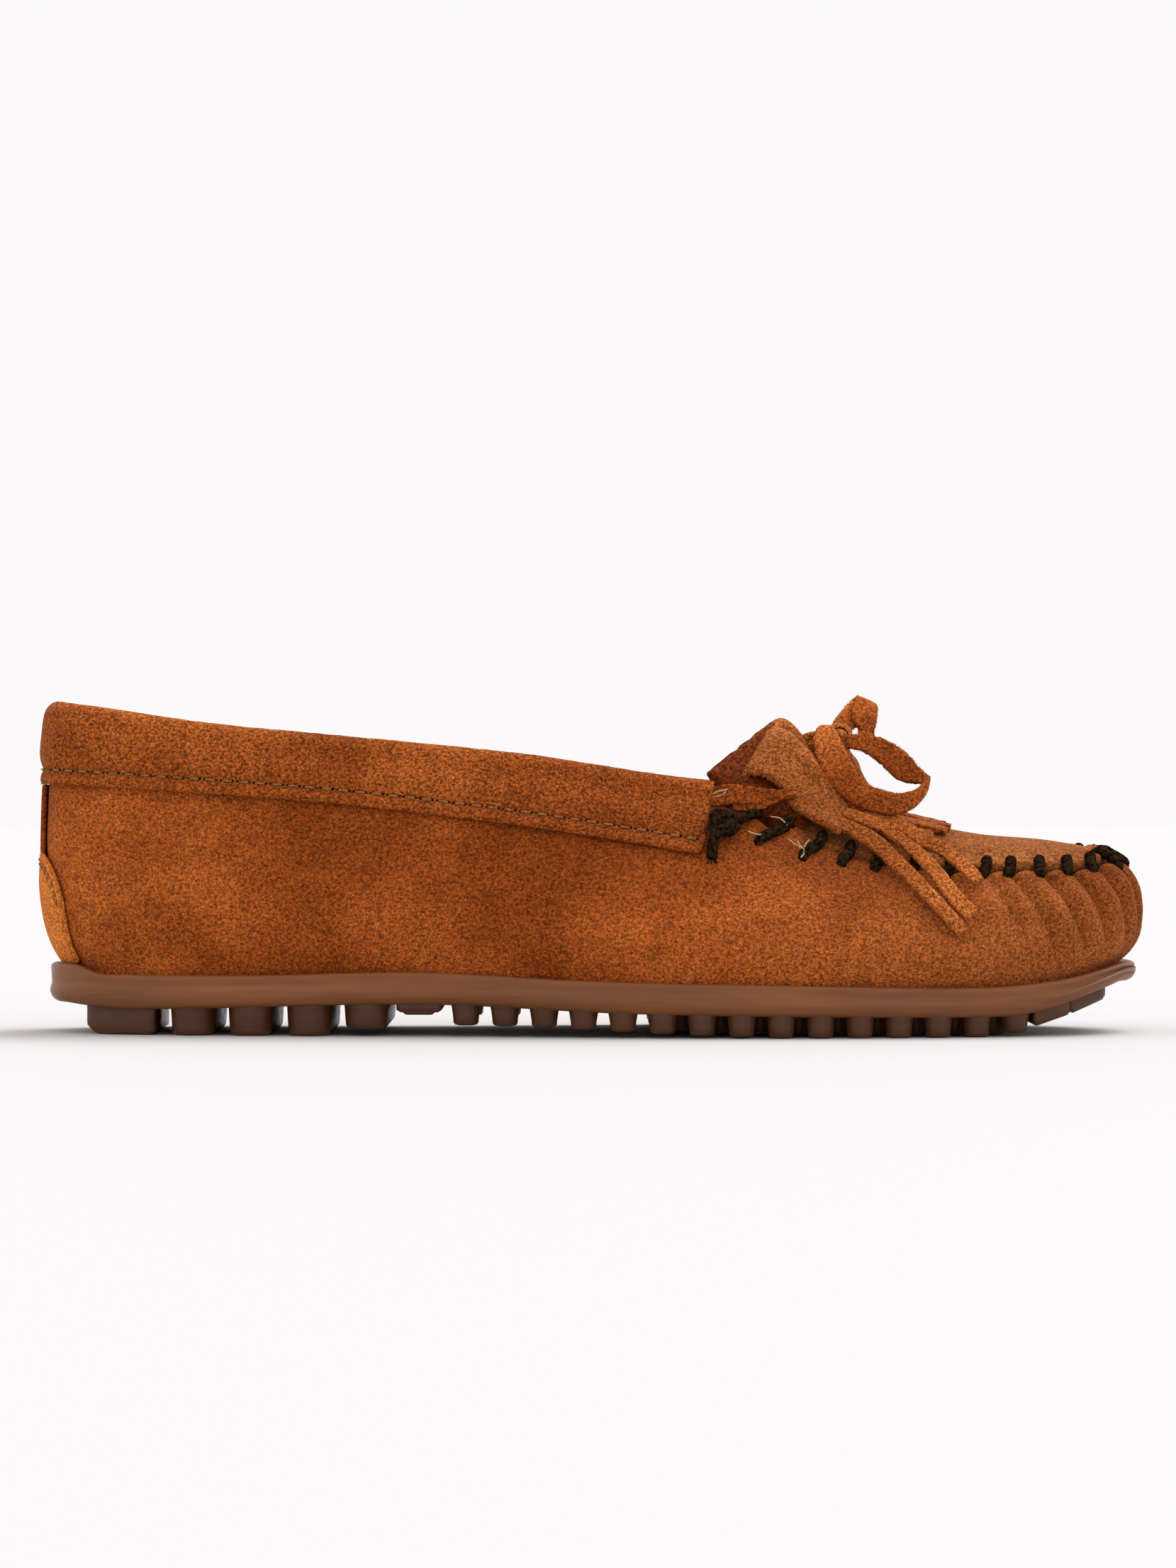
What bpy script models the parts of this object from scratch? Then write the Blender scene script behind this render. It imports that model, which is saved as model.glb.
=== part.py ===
"""Hard-soled suede kiltie moccasin, right shoe.

Frame: metres, +X to the toe, +Y to the shoe's left (inner) side, +Z up, ground at z = 0.
Every length below is in millimetres and is scaled once, when a mesh is made.
"""

import math

import bmesh
import bpy
from mathutils import Vector

MM = 0.001
GAP = 0.3                    # clearance left between touching pieces

# sole plan
HEEL_END, TOE_END = -127.9, 129.2
OUTER_WIDTH = ((-125, 34), (-85, 33.5), (-35, 34), (10, 41.5), (45, 44), (80, 43.5), (127, 41))
INNER_WIDTH = ((-125, 33.5), (-85, 32), (-35, 28.5), (10, 35), (50, 43), (80, 43.5), (127, 42))
HEEL_ROUND, TOE_ROUND = 2.9, 2.8

# sole heights along the shoe
SOLE_TOP = ((-125, 14.2), (-80, 14.2), (-40, 15), (0, 13.2), (45, 12.3), (90, 11.6), (110, 13.2), (126, 16.8))
SOLE_EDGE = ((-125, 7.2), (-110, 6), (-40, 7.4), (10, 5.5), (90, 4.6), (105, 5.6), (126, 12.2))
HEEL_LIP = 2.2
BOARD, FOOTBED, SOCK = 1.8, 4.0, 1.0

# upper
UPPER_THICK = 2.0
COLLAR_TOP = ((-127, 78), (-115, 76.3), (-90, 72.8), (-60, 70), (-20, 65.9), (10, 61.4), (30, 58.8))
COLLAR_FOOT = ((-127, 58.7), (-100, 57), (-60, 54), (-20, 49.3), (10, 44.8), (30, 41.5))
SEAM_EDGE = ((27, 54.2), (40, 50.5), (52, 46), (70, 42), (90, 40), (127, 40.4))
INNER_RISE, TIP_RISE = 2.4, 1.6
COLLAR_END = 27.0
LACE_ROOM = 4.6              # from the quarter's top edge to the top of the collar
LEAN = ((-125, 0.6), (-115, 4), (-90, 7), (-50, 9.5), (0, 14), (30, 18.5), (60, 18.5), (90, 15), (112, 9),
        (127, 6.4))
LEAN_POWER = ((-125, 1.5), (-50, 1.7), (30, 1.9), (80, 2.3), (105, 3.6), (127, 6))
BELLY = ((-125, 0.9), (-60, 1.2), (20, 1), (80, 1.2), (127, 1.2))
TUCK = ((-125, 7.2), (-112, 4.4), (-90, 3), (90, 3), (127, 3.8))
CROWN = ((40, 5), (55, 8.5), (76, 8.5), (92, 6.6), (108, 4), (122, 1.2))
PLUG_REAR = 47.0
PLUG_THICK = 1.8

# seam cord
CORD_RADIUS = 1.0
STITCH_PITCH = 6.7
FIRST_STITCH_X = 42.0

# tongue, flap and bow
SHEET_THICK = 1.7
RING = 28                    # upper's stations on each side, heel to toe
FLAP_CLEAR = 3.4
FLAP_FOLD = (44.8, 73.0)
STRIPS = 13
THONG_WIDTH, THONG_THICK = 5.6, 1.4

# tread
HEEL_BAR = (-118.3, -101.7)
HEEL_RIBS = (-92.7, -79.1, -65.4, -52.0)
SHANK_PLATE = (-45.0, -34.4)
PEG_FIRST, PEG_PITCH, PEG_COUNT = -28.8, 9.1, 15
TOE_BAR = (103.0, 118.5)

for old in list(bpy.data.objects):
    bpy.data.objects.remove(old, do_unlink=True)

SHOE = bpy.data.collections.new("moccasin")
bpy.context.scene.collection.children.link(SHOE)
CUTTERS = bpy.data.collections.new("cutters")
bpy.context.scene.collection.children.link(CUTTERS)


# ---------------------------------------------------------------- curves

def ease(a, b, x):
    """0 below a, 1 above b, smooth between."""
    t = min(1.0, max(0.0, (x - a) / (b - a)))
    return t * t * (3 - 2 * t)


def along(stations, x):
    """Smooth value through a few (x, value) stations."""
    if x <= stations[0][0]:
        return stations[0][1]
    for i in range(len(stations) - 1):
        x0, v0 = stations[i]
        x1, v1 = stations[i + 1]
        if x <= x1:
            before = stations[max(i - 1, 0)]
            after = stations[min(i + 2, len(stations) - 1)]
            m0 = (v1 - before[1]) / (x1 - before[0])
            m1 = (after[1] - v0) / (after[0] - x0)
            h = x1 - x0
            t = (x - x0) / h
            a = (2 * t ** 3 - 3 * t ** 2 + 1) * v0 + (t ** 3 - 2 * t ** 2 + t) * h * m0
            b = (-2 * t ** 3 + 3 * t ** 2) * v1 + (t ** 3 - t ** 2) * h * m1
            return a + b
    return stations[-1][1]


MID = (HEEL_END + TOE_END) / 2
HALF = (TOE_END - HEEL_END) / 2


def outline(side, fine=600):
    """Dense plan curve of the sole edge on one side (-1 outer, 1 inner), from the heel to the toe centre."""
    width = OUTER_WIDTH if side < 0 else INNER_WIDTH
    pts = []
    for i in range(fine + 1):
        a = math.pi * i / fine
        c = -math.cos(a)
        power = HEEL_ROUND if c < 0 else TOE_ROUND
        x = MID + HALF * math.copysign(abs(c) ** (2 / power), c)
        y = along(width, x) * abs(math.sin(a)) ** (2 / power)
        pts.append((x, side * y))
    return pts


def spaced(pts):
    """Fractions along the curve, with rounds counted longer so they get more stations."""
    total = [0.0]
    for p, q in zip(pts, pts[1:]):
        step = math.hypot(q[0] - p[0], q[1] - p[1])
        x = (p[0] + q[0]) / 2
        ends = 1.0 + 0.9 * (ease(-95, -120, x) + ease(95, 120, x))
        total.append(total[-1] + step * ends)
    return [t / total[-1] for t in total]


EDGE = {s: outline(s) for s in (-1, 1)}
MARK = {s: spaced(EDGE[s]) for s in (-1, 1)}


def plan(side, q):
    """Point on the sole edge and its inward direction at fraction q from heel to toe."""
    pts, mark = EDGE[side], MARK[side]
    lo, hi = 0, len(mark) - 1
    while hi - lo > 1:
        m = (lo + hi) // 2
        if mark[m] <= q:
            lo = m
        else:
            hi = m
    t = (q - mark[lo]) / max(mark[hi] - mark[lo], 1e-9)
    p, r = pts[lo], pts[hi]
    x, y = p[0] + (r[0] - p[0]) * t, p[1] + (r[1] - p[1]) * t
    a, b = pts[max(lo - 6, 0)], pts[min(hi + 6, len(pts) - 1)]
    tx, ty = b[0] - a[0], b[1] - a[1]
    if q < 0.012:
        tx, ty = 0.0, side
    if q > 0.988:
        tx, ty = 0.0, -side
    n = math.hypot(tx, ty)
    return x, y, side * ty / n, -side * tx / n


def q_at(side, x):
    """Fraction along one side where the sole edge is at x."""
    lo, hi = 0.0, 1.0
    for _ in range(40):
        m = (lo + hi) / 2
        if plan(side, m)[0] < x:
            lo = m
        else:
            hi = m
    return lo


def wrap_edge(x, side=-1):
    """Height of the wrap's free top edge: seam line in front, tucked in the collar behind.

    Round the toe the inner side stands higher, over the big toe.
    """
    if x >= 27:
        inner = (1 + side) / 2 * INNER_RISE * ease(92, 110, x) * (1 - ease(119, 128, x))
        return along(SEAM_EDGE, x) + inner + TIP_RISE * ease(119, 128, x)
    t = ease(20, 27, x)
    return (along(COLLAR_TOP, x) - LACE_ROOM) * (1 - t) + along(SEAM_EDGE, 27) * t


def inset(x, z, side=-1):
    """How far the upper's outer face stands in from the sole edge at height z."""
    low = along(SOLE_TOP, x)
    f = min(1.0, max(0.0, (z - low) / (wrap_edge(x, side) - low)))
    tuck = along(TUCK, x) * (1 - f) ** 8
    lean = along(LEAN, x) * f ** along(LEAN_POWER, x)
    return tuck + lean - along(BELLY, x) * math.sin(math.pi * f)


def skin(side, q, z, depth=0.0):
    """Point of the upper at fraction q and height z, `depth` in from its outer face."""
    x, y, nx, ny = plan(side, q)
    d = inset(x, z, side) + depth
    return Vector((x + nx * d, y + ny * d, z))


# ---------------------------------------------------------------- makers

def material(name, colour, rough):
    m = bpy.data.materials.new(name)
    m.use_nodes = True
    b = m.node_tree.nodes["Principled BSDF"]
    b.inputs["Base Color"].default_value = (*colour, 1)
    b.inputs["Roughness"].default_value = rough
    return m


SUEDE = (0.36, 0.105, 0.02)
RUBBER = (0.17, 0.065, 0.025)
CORD = (0.02, 0.012, 0.008)


def add(name, verts, faces, colour, rough=0.9, origin=(0, 0, 0), parent=None, hidden=False):
    """Make one named mesh object from points in mm; `origin` becomes its own origin."""
    o = Vector(origin)
    mesh = bpy.data.meshes.new(name)
    mesh.from_pydata([(Vector(v) - o) * MM for v in verts], [], faces)
    bm = bmesh.new()
    bm.from_mesh(mesh)
    bmesh.ops.remove_doubles(bm, verts=bm.verts, dist=1e-6)
    bmesh.ops.recalc_face_normals(bm, faces=bm.faces)
    bm.to_mesh(mesh)
    bm.free()
    obj = bpy.data.objects.new(name, mesh)
    (CUTTERS if hidden else SHOE).objects.link(obj)
    if hidden:
        obj.hide_render = True
        obj.display_type = "WIRE"
    else:
        mesh.materials.append(material(name + "_material", colour, rough))
    obj.location = o * MM
    if parent:
        obj.parent = parent
        obj.matrix_parent_inverse = parent.matrix_world.inverted()
    bpy.context.view_layer.update()
    return obj


def tube_faces(sections, closed):
    """Faces joining equal-length closed sections in order, capped when the run isn't closed."""
    n = len(sections[0])
    verts = [p for s in sections for p in s]
    faces = []
    runs = len(sections) if closed else len(sections) - 1
    for i in range(runs):
        a, b = i * n, ((i + 1) % len(sections)) * n
        for k in range(n):
            j = (k + 1) % n
            faces.append((a + k, a + j, b + j, b + k))
    if not closed:
        faces.append(tuple(range(n)))
        faces.append(tuple((len(sections) - 1) * n + k for k in reversed(range(n))))
    return verts, faces


def stations(count):
    """(side, q) right round the shoe, heel centre -> outer side -> toe centre -> inner side."""
    out = [(-1, i / count) for i in range(count + 1)]
    back = [(1, i / count) for i in range(count - 1, 0, -1)]
    return out + back


def rear_stations(x_end, split=1):
    """(side, q) at the upper's stations from x_end on the outer side, round the heel, to x_end inside."""
    runs = []
    for side in (-1, 1):
        last = q_at(side, x_end)
        step = 1 / (RING * split)
        count = int(last / step - 0.35)
        runs.append([(side, i * step) for i in range(count + 1)] + [(side, last)])
    return list(reversed(runs[0])) + runs[1][1:]


def slab(name, loops, count, colour, rough=0.9):
    """Solid from stacked (inset, height function) loops; flat strips close its bottom and top."""
    ring = stations(count)
    n = len(ring)
    verts, faces = [], []
    for depth, height in loops:
        for side, q in ring:
            x, y, nx, ny = plan(side, q)
            d = depth(x) if callable(depth) else depth
            verts.append((x + nx * d, y + ny * d, height(x)))
    for k in range(len(loops) - 1):
        a, b = k * n, (k + 1) * n
        for i in range(n):
            j = (i + 1) % n
            faces.append((a + i, a + j, b + j, b + i))
    top = (len(loops) - 1) * n
    for base in (0, top):
        for i in range(count):
            j, m = (n - i) % n, (n - i - 1) % n
            quad = [base + i, base + i + 1, base + m, base + j]
            quad = list(dict.fromkeys(quad))
            faces.append(tuple(quad if base else reversed(quad)))
    return add(name, verts, faces, colour, rough)


def ring_shell(name, sections, closed, colour, rough=0.9, **more):
    verts, faces = tube_faces(sections, closed)
    return add(name, verts, faces, colour, rough, **more)


def frames(path):
    """Tangent and two cross directions at each point of a path, carried along without twist."""
    out, ref = [], None
    for i in range(len(path)):
        t = (path[min(i + 1, len(path) - 1)] - path[max(i - 1, 0)]).normalized()
        if ref is None:
            ref = Vector((0, 0, 1)) if abs(t.z) < 0.9 else Vector((1, 0, 0))
        u = (ref - t * ref.dot(t)).normalized()
        ref = u
        out.append((t, u, t.cross(u)))
    return out


def rod(name, path, radius, sides, colour, rough=0.9, **more):
    """Round cord along a path."""
    path = [Vector(p) for p in path]
    sections = []
    for p, (_, u, v) in zip(path, frames(path)):
        ring = []
        for k in range(sides):
            a = 2 * math.pi * k / sides
            ring.append(p + (u * math.cos(a) + v * math.sin(a)) * radius)
        sections.append(ring)
    verts, faces = tube_faces(sections, False)
    return add(name, verts, faces, colour, rough, **more)


def strap(name, path, faces_to, width, thick, colour, **more):
    """Flat thong along a path; faces_to gives the direction its flat side looks at each point."""
    path = [Vector(p) for p in path]
    sections = []
    for i, (p, (t, _, _)) in enumerate(zip(path, frames(path))):
        n = Vector(faces_to[min(i, len(faces_to) - 1)])
        n = (n - t * n.dot(t)).normalized()
        w = t.cross(n) * width / 2
        h = n * thick / 2
        c = w * 0.82
        sections.append([p + w, p + c + h, p - c + h, p - w, p - c - h, p + c - h])
    verts, faces = tube_faces(sections, False)
    return add(name, verts, faces, colour, **more)


def apply(obj):
    """Bake the object's modifiers into its mesh."""
    graph = bpy.context.evaluated_depsgraph_get()
    mesh = bpy.data.meshes.new_from_object(obj.evaluated_get(graph))
    obj.modifiers.clear()
    old = obj.data
    obj.data = mesh
    mesh.name = obj.name
    bpy.data.meshes.remove(old)


def combine(obj, other, operation):
    b = obj.modifiers.new("cut", "BOOLEAN")
    b.object = other
    b.operation = operation
    b.solver = "EXACT"
    apply(obj)


def sheet(name, rows, thick, colour, keep=None, **more):
    """Leather sheet from a grid of points on its top face; `keep` leaves out cells to make slots."""
    n = len(rows[0])
    verts = [p for r in rows for p in r]
    faces = []
    for i in range(len(rows) - 1):
        for k in range(n - 1):
            if keep is None or keep(i, k):
                faces.append((i * n + k, i * n + k + 1, (i + 1) * n + k + 1, (i + 1) * n + k))
    used = sorted({v for f in faces for v in f})
    place = {v: i for i, v in enumerate(used)}
    obj = add(name, [verts[v] for v in used], [tuple(place[v] for v in f) for f in faces], colour, **more)
    up = sum((p.normal.z + 0.3 * p.normal.x for p in obj.data.polygons))
    s = obj.modifiers.new("thickness", "SOLIDIFY")
    s.thickness = thick * MM
    s.offset = -1 if up > 0 else 1
    s.use_even_offset = True
    s.use_rim = True
    apply(obj)
    return obj


# ---------------------------------------------------------------- sole

def sole_edge(x):
    return along(SOLE_EDGE, x)


def sole_top(x):
    return along(SOLE_TOP, x)


def lip(x):
    return HEEL_LIP * ease(-114, -122, x)


SOLE_COUNT = 26
outsole = slab("outsole", (
    (3.2, sole_edge),
    (0.9, lambda x: sole_edge(x) + 0.8),
    (0.0, lambda x: sole_edge(x) + 2.6),
    (0.0, lambda x: sole_top(x) - 1.3),
    (0.8, lambda x: sole_top(x) + lip(x)),
    (2.2, lambda x: sole_top(x) + lip(x) * 0.9),
    (2.9, sole_top),
), SOLE_COUNT, RUBBER, 0.75)


def bottom(x):
    """Height of the tread's ground line: flat at heel and ball, raised at the arch and toe."""
    arch = 2.6 * ease(50, -30, x) * (1 if x > -45 else 0)
    return arch + 0.9 * ease(92, 100, x)


def peg(verts, faces, x, y, rx, ry, low, sides, crown=0.9):
    """A tapered peg with a softly domed foot, rising into the sole."""
    high = sole_edge(x) + 2.0
    rings = ((1.12, high), (1.0, low + crown), (0.62, low))
    base = len(verts)
    for scale, z in rings:
        for k in range(sides):
            a = 2 * math.pi * (k + 0.5) / sides
            verts.append((x + rx * scale * math.cos(a), y + ry * scale * math.sin(a), z))
    for r in range(len(rings) - 1):
        for k in range(sides):
            j = (k + 1) % sides
            a = base + r * sides
            faces.append((a + k, a + j, a + sides + j, a + sides + k))
    faces.append(tuple(base + k for k in range(sides)))
    faces.append(tuple(base + 2 * sides + k for k in reversed(range(sides))))


def rib(verts, faces, x, half, y0, y1, low, crown=0.8):
    """A rib right across the heel with round ends and a softly rounded foot."""
    high = sole_edge(x) + 2.0
    base, n = len(verts), 12
    for scale, z in ((1.08, high), (1.0, low + crown), (0.82, low)):
        for k in range(n):
            a = 2 * math.pi * (k + 0.5) / n
            end = y1 - half if math.sin(a) > 0 else y0 + half
            verts.append((x + half * scale * math.cos(a), end + half * scale * math.sin(a), z))
    for r in range(2):
        for k in range(n):
            j, a = (k + 1) % n, base + r * n
            faces.append((a + k, a + j, a + n + j, a + n + k))
    faces.append(tuple(base + k for k in range(n)))
    faces.append(tuple(base + 2 * n + k for k in reversed(range(n))))


def bar(verts, faces, x0, x1, lows, reach, rise=2.0):
    """A cross bar of the tread between x0 and x1, following the sole's edge at `reach` in from it."""
    base = len(verts)
    for x, low in ((x0, lows[0]), (x1, lows[1])):
        outer = min(abs(side_width(-1, x0)), abs(side_width(-1, x1))) - reach
        inner = min(side_width(1, x0), side_width(1, x1)) - reach
        high = sole_edge(x) + rise
        verts.extend(((x, -outer, low), (x, inner, low), (x, inner, high), (x, -outer, high)))
    a, b = base, base + 4
    faces.extend(((a, a + 3, a + 2, a + 1), (b, b + 1, b + 2, b + 3)))
    for k in range(4):
        j = (k + 1) % 4
        faces.append((a + k, a + j, b + j, b + k))


def side_width(side, x):
    return plan(side, q_at(side, x))[1]


tread_v, tread_f = [], []
bar(tread_v, tread_f, HEEL_BAR[0] + 2.5, HEEL_BAR[1], (0.0, 0.0), 4.2)
bar(tread_v, tread_f, SHANK_PLATE[0], SHANK_PLATE[1], (5.4, 5.4), 3.6, 3.0)
bar(tread_v, tread_f, TOE_BAR[0], TOE_BAR[1], (2.0, 6.6), 4.4, 3.0)
for x in HEEL_RIBS:
    rib(tread_v, tread_f, x, 4.8, side_width(-1, x) + 2.6, side_width(1, x) - 2.6, 0.0 if x < -60 else 1.2)
for i in range(PEG_COUNT):
    x = PEG_FIRST + PEG_PITCH * i
    for side in (-1, 1):
        y = side_width(side, x) - side * (6.0 + 1.6 * ease(80, 100, x))
        peg(tread_v, tread_f, x, y, 2.8, 2.8, bottom(x), 7)
        if i % 2 and 8 < x < 98:
            peg(tread_v, tread_f, x, side * 13.0, 2.8, 2.8, bottom(x), 6)
tread = add("tread_blocks", tread_v, tread_f, RUBBER, hidden=True)
combine(outsole, tread, "UNION")

# ---------------------------------------------------------------- under the foot

layers = (("insole_board", GAP, BOARD, 2.9, (0.45, 0.36, 0.24)),
          ("footbed", 2 * GAP + BOARD, FOOTBED, 6.3, (0.55, 0.5, 0.4)),
          ("sock_liner", 3 * GAP + BOARD + FOOTBED, SOCK, 6.4, (0.62, 0.40, 0.20)))
for name, start, thick, room, colour in layers:
    slab(name, (
        (lambda x, r=room: along(TUCK, x) + r, lambda x, s=start: sole_top(x) + s),
        (lambda x, r=room: along(TUCK, x) + r, lambda x, s=start, t=thick: sole_top(x) + s + t),
    ), 20, colour)

# ---------------------------------------------------------------- upper

LEVELS = 6


def wall(side, q, low, high, d0, d1, levels=LEVELS):
    """Closed section of a wall between depths d0 and d1, from height low to high."""
    zs = [low + (high - low) * (i / levels) ** 1.25 for i in range(levels + 1)]
    out = [skin(side, q, z, d0) for z in zs]
    back = [skin(side, q, z, d1) for z in reversed(zs)]
    return out + back


sections = []
for side, q in stations(RING):
    x = plan(side, q)[0]
    sections.append(wall(side, q, sole_top(x) + GAP, wrap_edge(x, side), 0, UPPER_THICK))
upper = ring_shell("upper", sections, True, SUEDE)

sections = []
for side, q in rear_stations(-62):
    x = plan(side, q)[0]
    low = sole_top(x) + BOARD + 2 * GAP
    high = low + 22 + 22 * ease(-70, -112, x)
    sections.append(wall(side, q, low, high, UPPER_THICK + 0.9, UPPER_THICK + 1.8, 4))
ring_shell("heel_counter", sections, False, (0.5, 0.42, 0.3))

sections = []
for side, q in rear_stations(20):
    x = plan(side, q)[0]
    low = sole_top(x) + BOARD + 2 * GAP
    high = along(COLLAR_TOP, x) - 12.5
    sections.append(wall(side, q, low, high, UPPER_THICK + 2.6, UPPER_THICK + 3.5, 5))
ring_shell("quarter_lining", sections, False, (0.6, 0.38, 0.16))

# folded collar: outer leg, rolled top with the lace channel under it, shorter inner leg
sections = []
for side, q in rear_stations(COLLAR_END):
    x = plan(side, q)[0]
    top, foot = along(COLLAR_TOP, x), along(COLLAR_FOOT, x)
    shape = ((-1.8, foot), (-1.9, (foot + top) / 2), (-1.6, top - 1.6), (-0.5, top - 0.2), (1.0, top),
             (2.6, top - 0.2), (4.0, top - 1.6), (4.0, top - LACE_ROOM), (4.2, top - 12), (2.9, top - 12),
             (2.7, top - LACE_ROOM), (2.6, top - 2.2),
             (1.0, top - 1.4), (-0.3, top - 2.2), (-0.5, (foot + top) / 2), (-0.5, foot))
    sections.append([skin(side, q, z, d) for d, z in shape])
ring_shell("collar", sections, False, SUEDE)

path = []
for side, q in rear_stations(COLLAR_END):
    x = plan(side, q)[0]
    path.append(skin(side, q, along(COLLAR_TOP, x) - 3.2, 1.1))
rod("collar_lace", path, 0.8, 6, (0.3, 0.12, 0.04))

path = []
for side, q in rear_stations(COLLAR_END - 1.5, 2):
    x = plan(side, q)[0]
    path.append(skin(side, q, along(COLLAR_FOOT, x) + 3.3, -2.45))
rod("collar_stitching", path, 0.32, 4, (0.6, 0.45, 0.3))

# back stay and heel patch
STAY_HALF = 0.030
sections = []
for i in range(-3, 4):
    side, q = (-1 if i < 0 else 1), abs(i) / 3 * STAY_HALF
    sections.append(wall(side, q, 43.4, along(COLLAR_FOOT, -127) - 0.6, -1.8, -GAP, 2))
ring_shell("back_stay", sections, False, SUEDE)

PATCH_HALF, PATCH_TOP, PATCH_LOW = 0.112, 42.4, 17.4


def patch_top(share):
    return PATCH_LOW + 3 + (PATCH_TOP - PATCH_LOW - 3) * max(0.0, 1 - abs(share) ** 2.3) ** 0.5


sections = []
for i in range(-8, 9):
    side, share = (-1 if i < 0 else 1), math.sin(abs(i) / 8 * math.pi / 2)
    low = PATCH_LOW if share < 0.9 else PATCH_LOW + 0.4
    sections.append(wall(side, share * PATCH_HALF, low, patch_top(share), -1.9, -GAP, 4))
ring_shell("heel_patch", sections, False, (0.52, 0.2, 0.05))

path = []
for i in range(-14, 15):
    side, share = (-1 if i < 0 else 1), math.sin(abs(i) / 14 * math.pi / 2) * 0.93
    z = max(patch_top(share) - 1.8, PATCH_LOW + 1.0)
    path.append(skin(side, share * PATCH_HALF, z, -2.6))
rod("heel_patch_stitching", path, 0.3, 4, (0.45, 0.3, 0.15))


# ---------------------------------------------------------------- plug and vamp surface

def plug_half(side, x):
    """Half width of the plug at x: up to the wrap's inner top edge, less the gap."""
    lo, hi = q_at(side, x) - 0.02, 1.0
    for _ in range(30):
        m = (lo + hi) / 2
        if skin(side, m, wrap_edge(plan(side, m)[0], side), UPPER_THICK + GAP).x < x:
            lo = m
        else:
            hi = m
    return abs(skin(side, lo, wrap_edge(plan(side, lo)[0], side), UPPER_THICK + GAP).y)


def plug_z(x, v):
    """Height of the plug at share v across, from -1 at the outer seam to 1 at the inner one."""
    return wrap_edge(x, v) + 0.2 + along(CROWN, x) * (1 - v * v) ** 0.9


PLUG_FRONT = skin(-1, 1.0, wrap_edge(TOE_END), UPPER_THICK + GAP).x
rows = []
for i in range(13):
    x = PLUG_REAR + (PLUG_FRONT - 0.6 - PLUG_REAR) * math.sin(i / 12 * math.pi / 2)
    near, far = plug_half(-1, x), plug_half(1, x)
    row = []
    for k in range(9):
        v = -1 + k / 4
        row.append((x, v * (near if v < 0 else far), plug_z(x, v)))
    rows.append(row)
plug = sheet("plug", rows, PLUG_THICK, SUEDE)


def wall_point(side, x, z, lift):
    """Point on the outer face of the wrap's wall at this x and height, moved `lift` away from it."""
    q = q_at(side, x)
    for _ in range(4):
        q += (x - skin(side, q, z).x) / 420.0
    p = skin(side, q, z)
    a = skin(side, q, z + 0.6) - skin(side, q, z - 0.6)
    b = skin(side, q + 0.004, z) - skin(side, q - 0.004, z)
    n = a.cross(b).normalized()
    if n.y * side < 0:
        n = -n
    return p + n * lift


def over(x, s, lift):
    """Point at distance s from the centre line across the vamp at x, `lift` above the leather."""
    side = -1 if s < 0 else 1
    half = plug_half(side, x)
    line = [(side * half * k / 8, plug_z(x, side * k / 8)) for k in range(9)]
    top = wrap_edge(x, side)
    for k in range(1, 9):
        z = top - k * (top - sole_top(x) - 3) / 8
        p = wall_point(side, x, z, 0)
        line.append((p.y, p.z))
    left = abs(s)
    for (y0, z0), (y1, z1) in zip(line, line[1:]):
        step = math.hypot(y1 - y0, z1 - z0)
        if left <= step:
            break
        left -= step
    t = min(1.0, left / step)
    n = Vector((0, -(z1 - z0), y1 - y0)).normalized()
    if n.z < 0:
        n = -n
    return Vector((x, y0 + (y1 - y0) * t, z0 + (z1 - z0) * t)) + n * lift


# ---------------------------------------------------------------- seam cord, through holes in wrap and plug

def seam_stations():
    """Evenly pitched (side, q) along the seam from the outer throat round the toe to the inner throat."""
    dense = []
    for side, order in ((-1, range(0, 201)), (1, range(199, -1, -1))):
        a = q_at(side, FIRST_STITCH_X)
        for i in order:
            q = a + (1 - a) * i / 200
            dense.append((side, q, skin(side, q, wrap_edge(plan(side, q)[0], side), 1.0)))
    run = [0.0]
    for p, r in zip(dense, dense[1:]):
        run.append(run[-1] + (r[2] - p[2]).length)
    count = round(run[-1] / STITCH_PITCH)
    out, k = [], 0
    for i in range(count + 1):
        want = run[-1] * i / count
        while k < len(run) - 2 and run[k + 1] < want:
            k += 1
        out.append(dense[k][:2])
    return out


def stitch(side, q):
    """One whip stitch: out below the edge, over the seam, down through the plug, back inside."""
    x = plan(side, q)[0]
    top = wrap_edge(x, side)
    a = skin(side, q, top - 4.6, -1.9)
    b = skin(side, q, top - 0.6, -2.2) + Vector((0, 0, 0.6))
    nx, ny = plan(side, q)[2:]
    seam = skin(side, q, top, UPPER_THICK + GAP)
    inward = Vector((nx, ny, 0))
    rise = along(CROWN, x) * 0.24
    c = seam + inward * 0.2 + Vector((0, 0, 2.2))
    d = seam + inward * 3.4 + Vector((0, 0, 1.9 + rise))
    e = seam + inward * 4.0 + Vector((0, 0, -3.6 + rise * 0.6))
    f = skin(side, q, top - 6.2, UPPER_THICK + 2.6)
    return [a, b, c, d, e, f]


cord_path = []
for side, q in seam_stations():
    cord_path += stitch(side, q)
rod("seam_cord", cord_path[1:-2], CORD_RADIUS, 5, CORD, 0.5)
hole = rod("seam_cord_room", cord_path, CORD_RADIUS + 2 * GAP, 5, CORD, hidden=True)
for piece in (upper, plug):
    combine(piece, hole, "DIFFERENCE")

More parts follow.
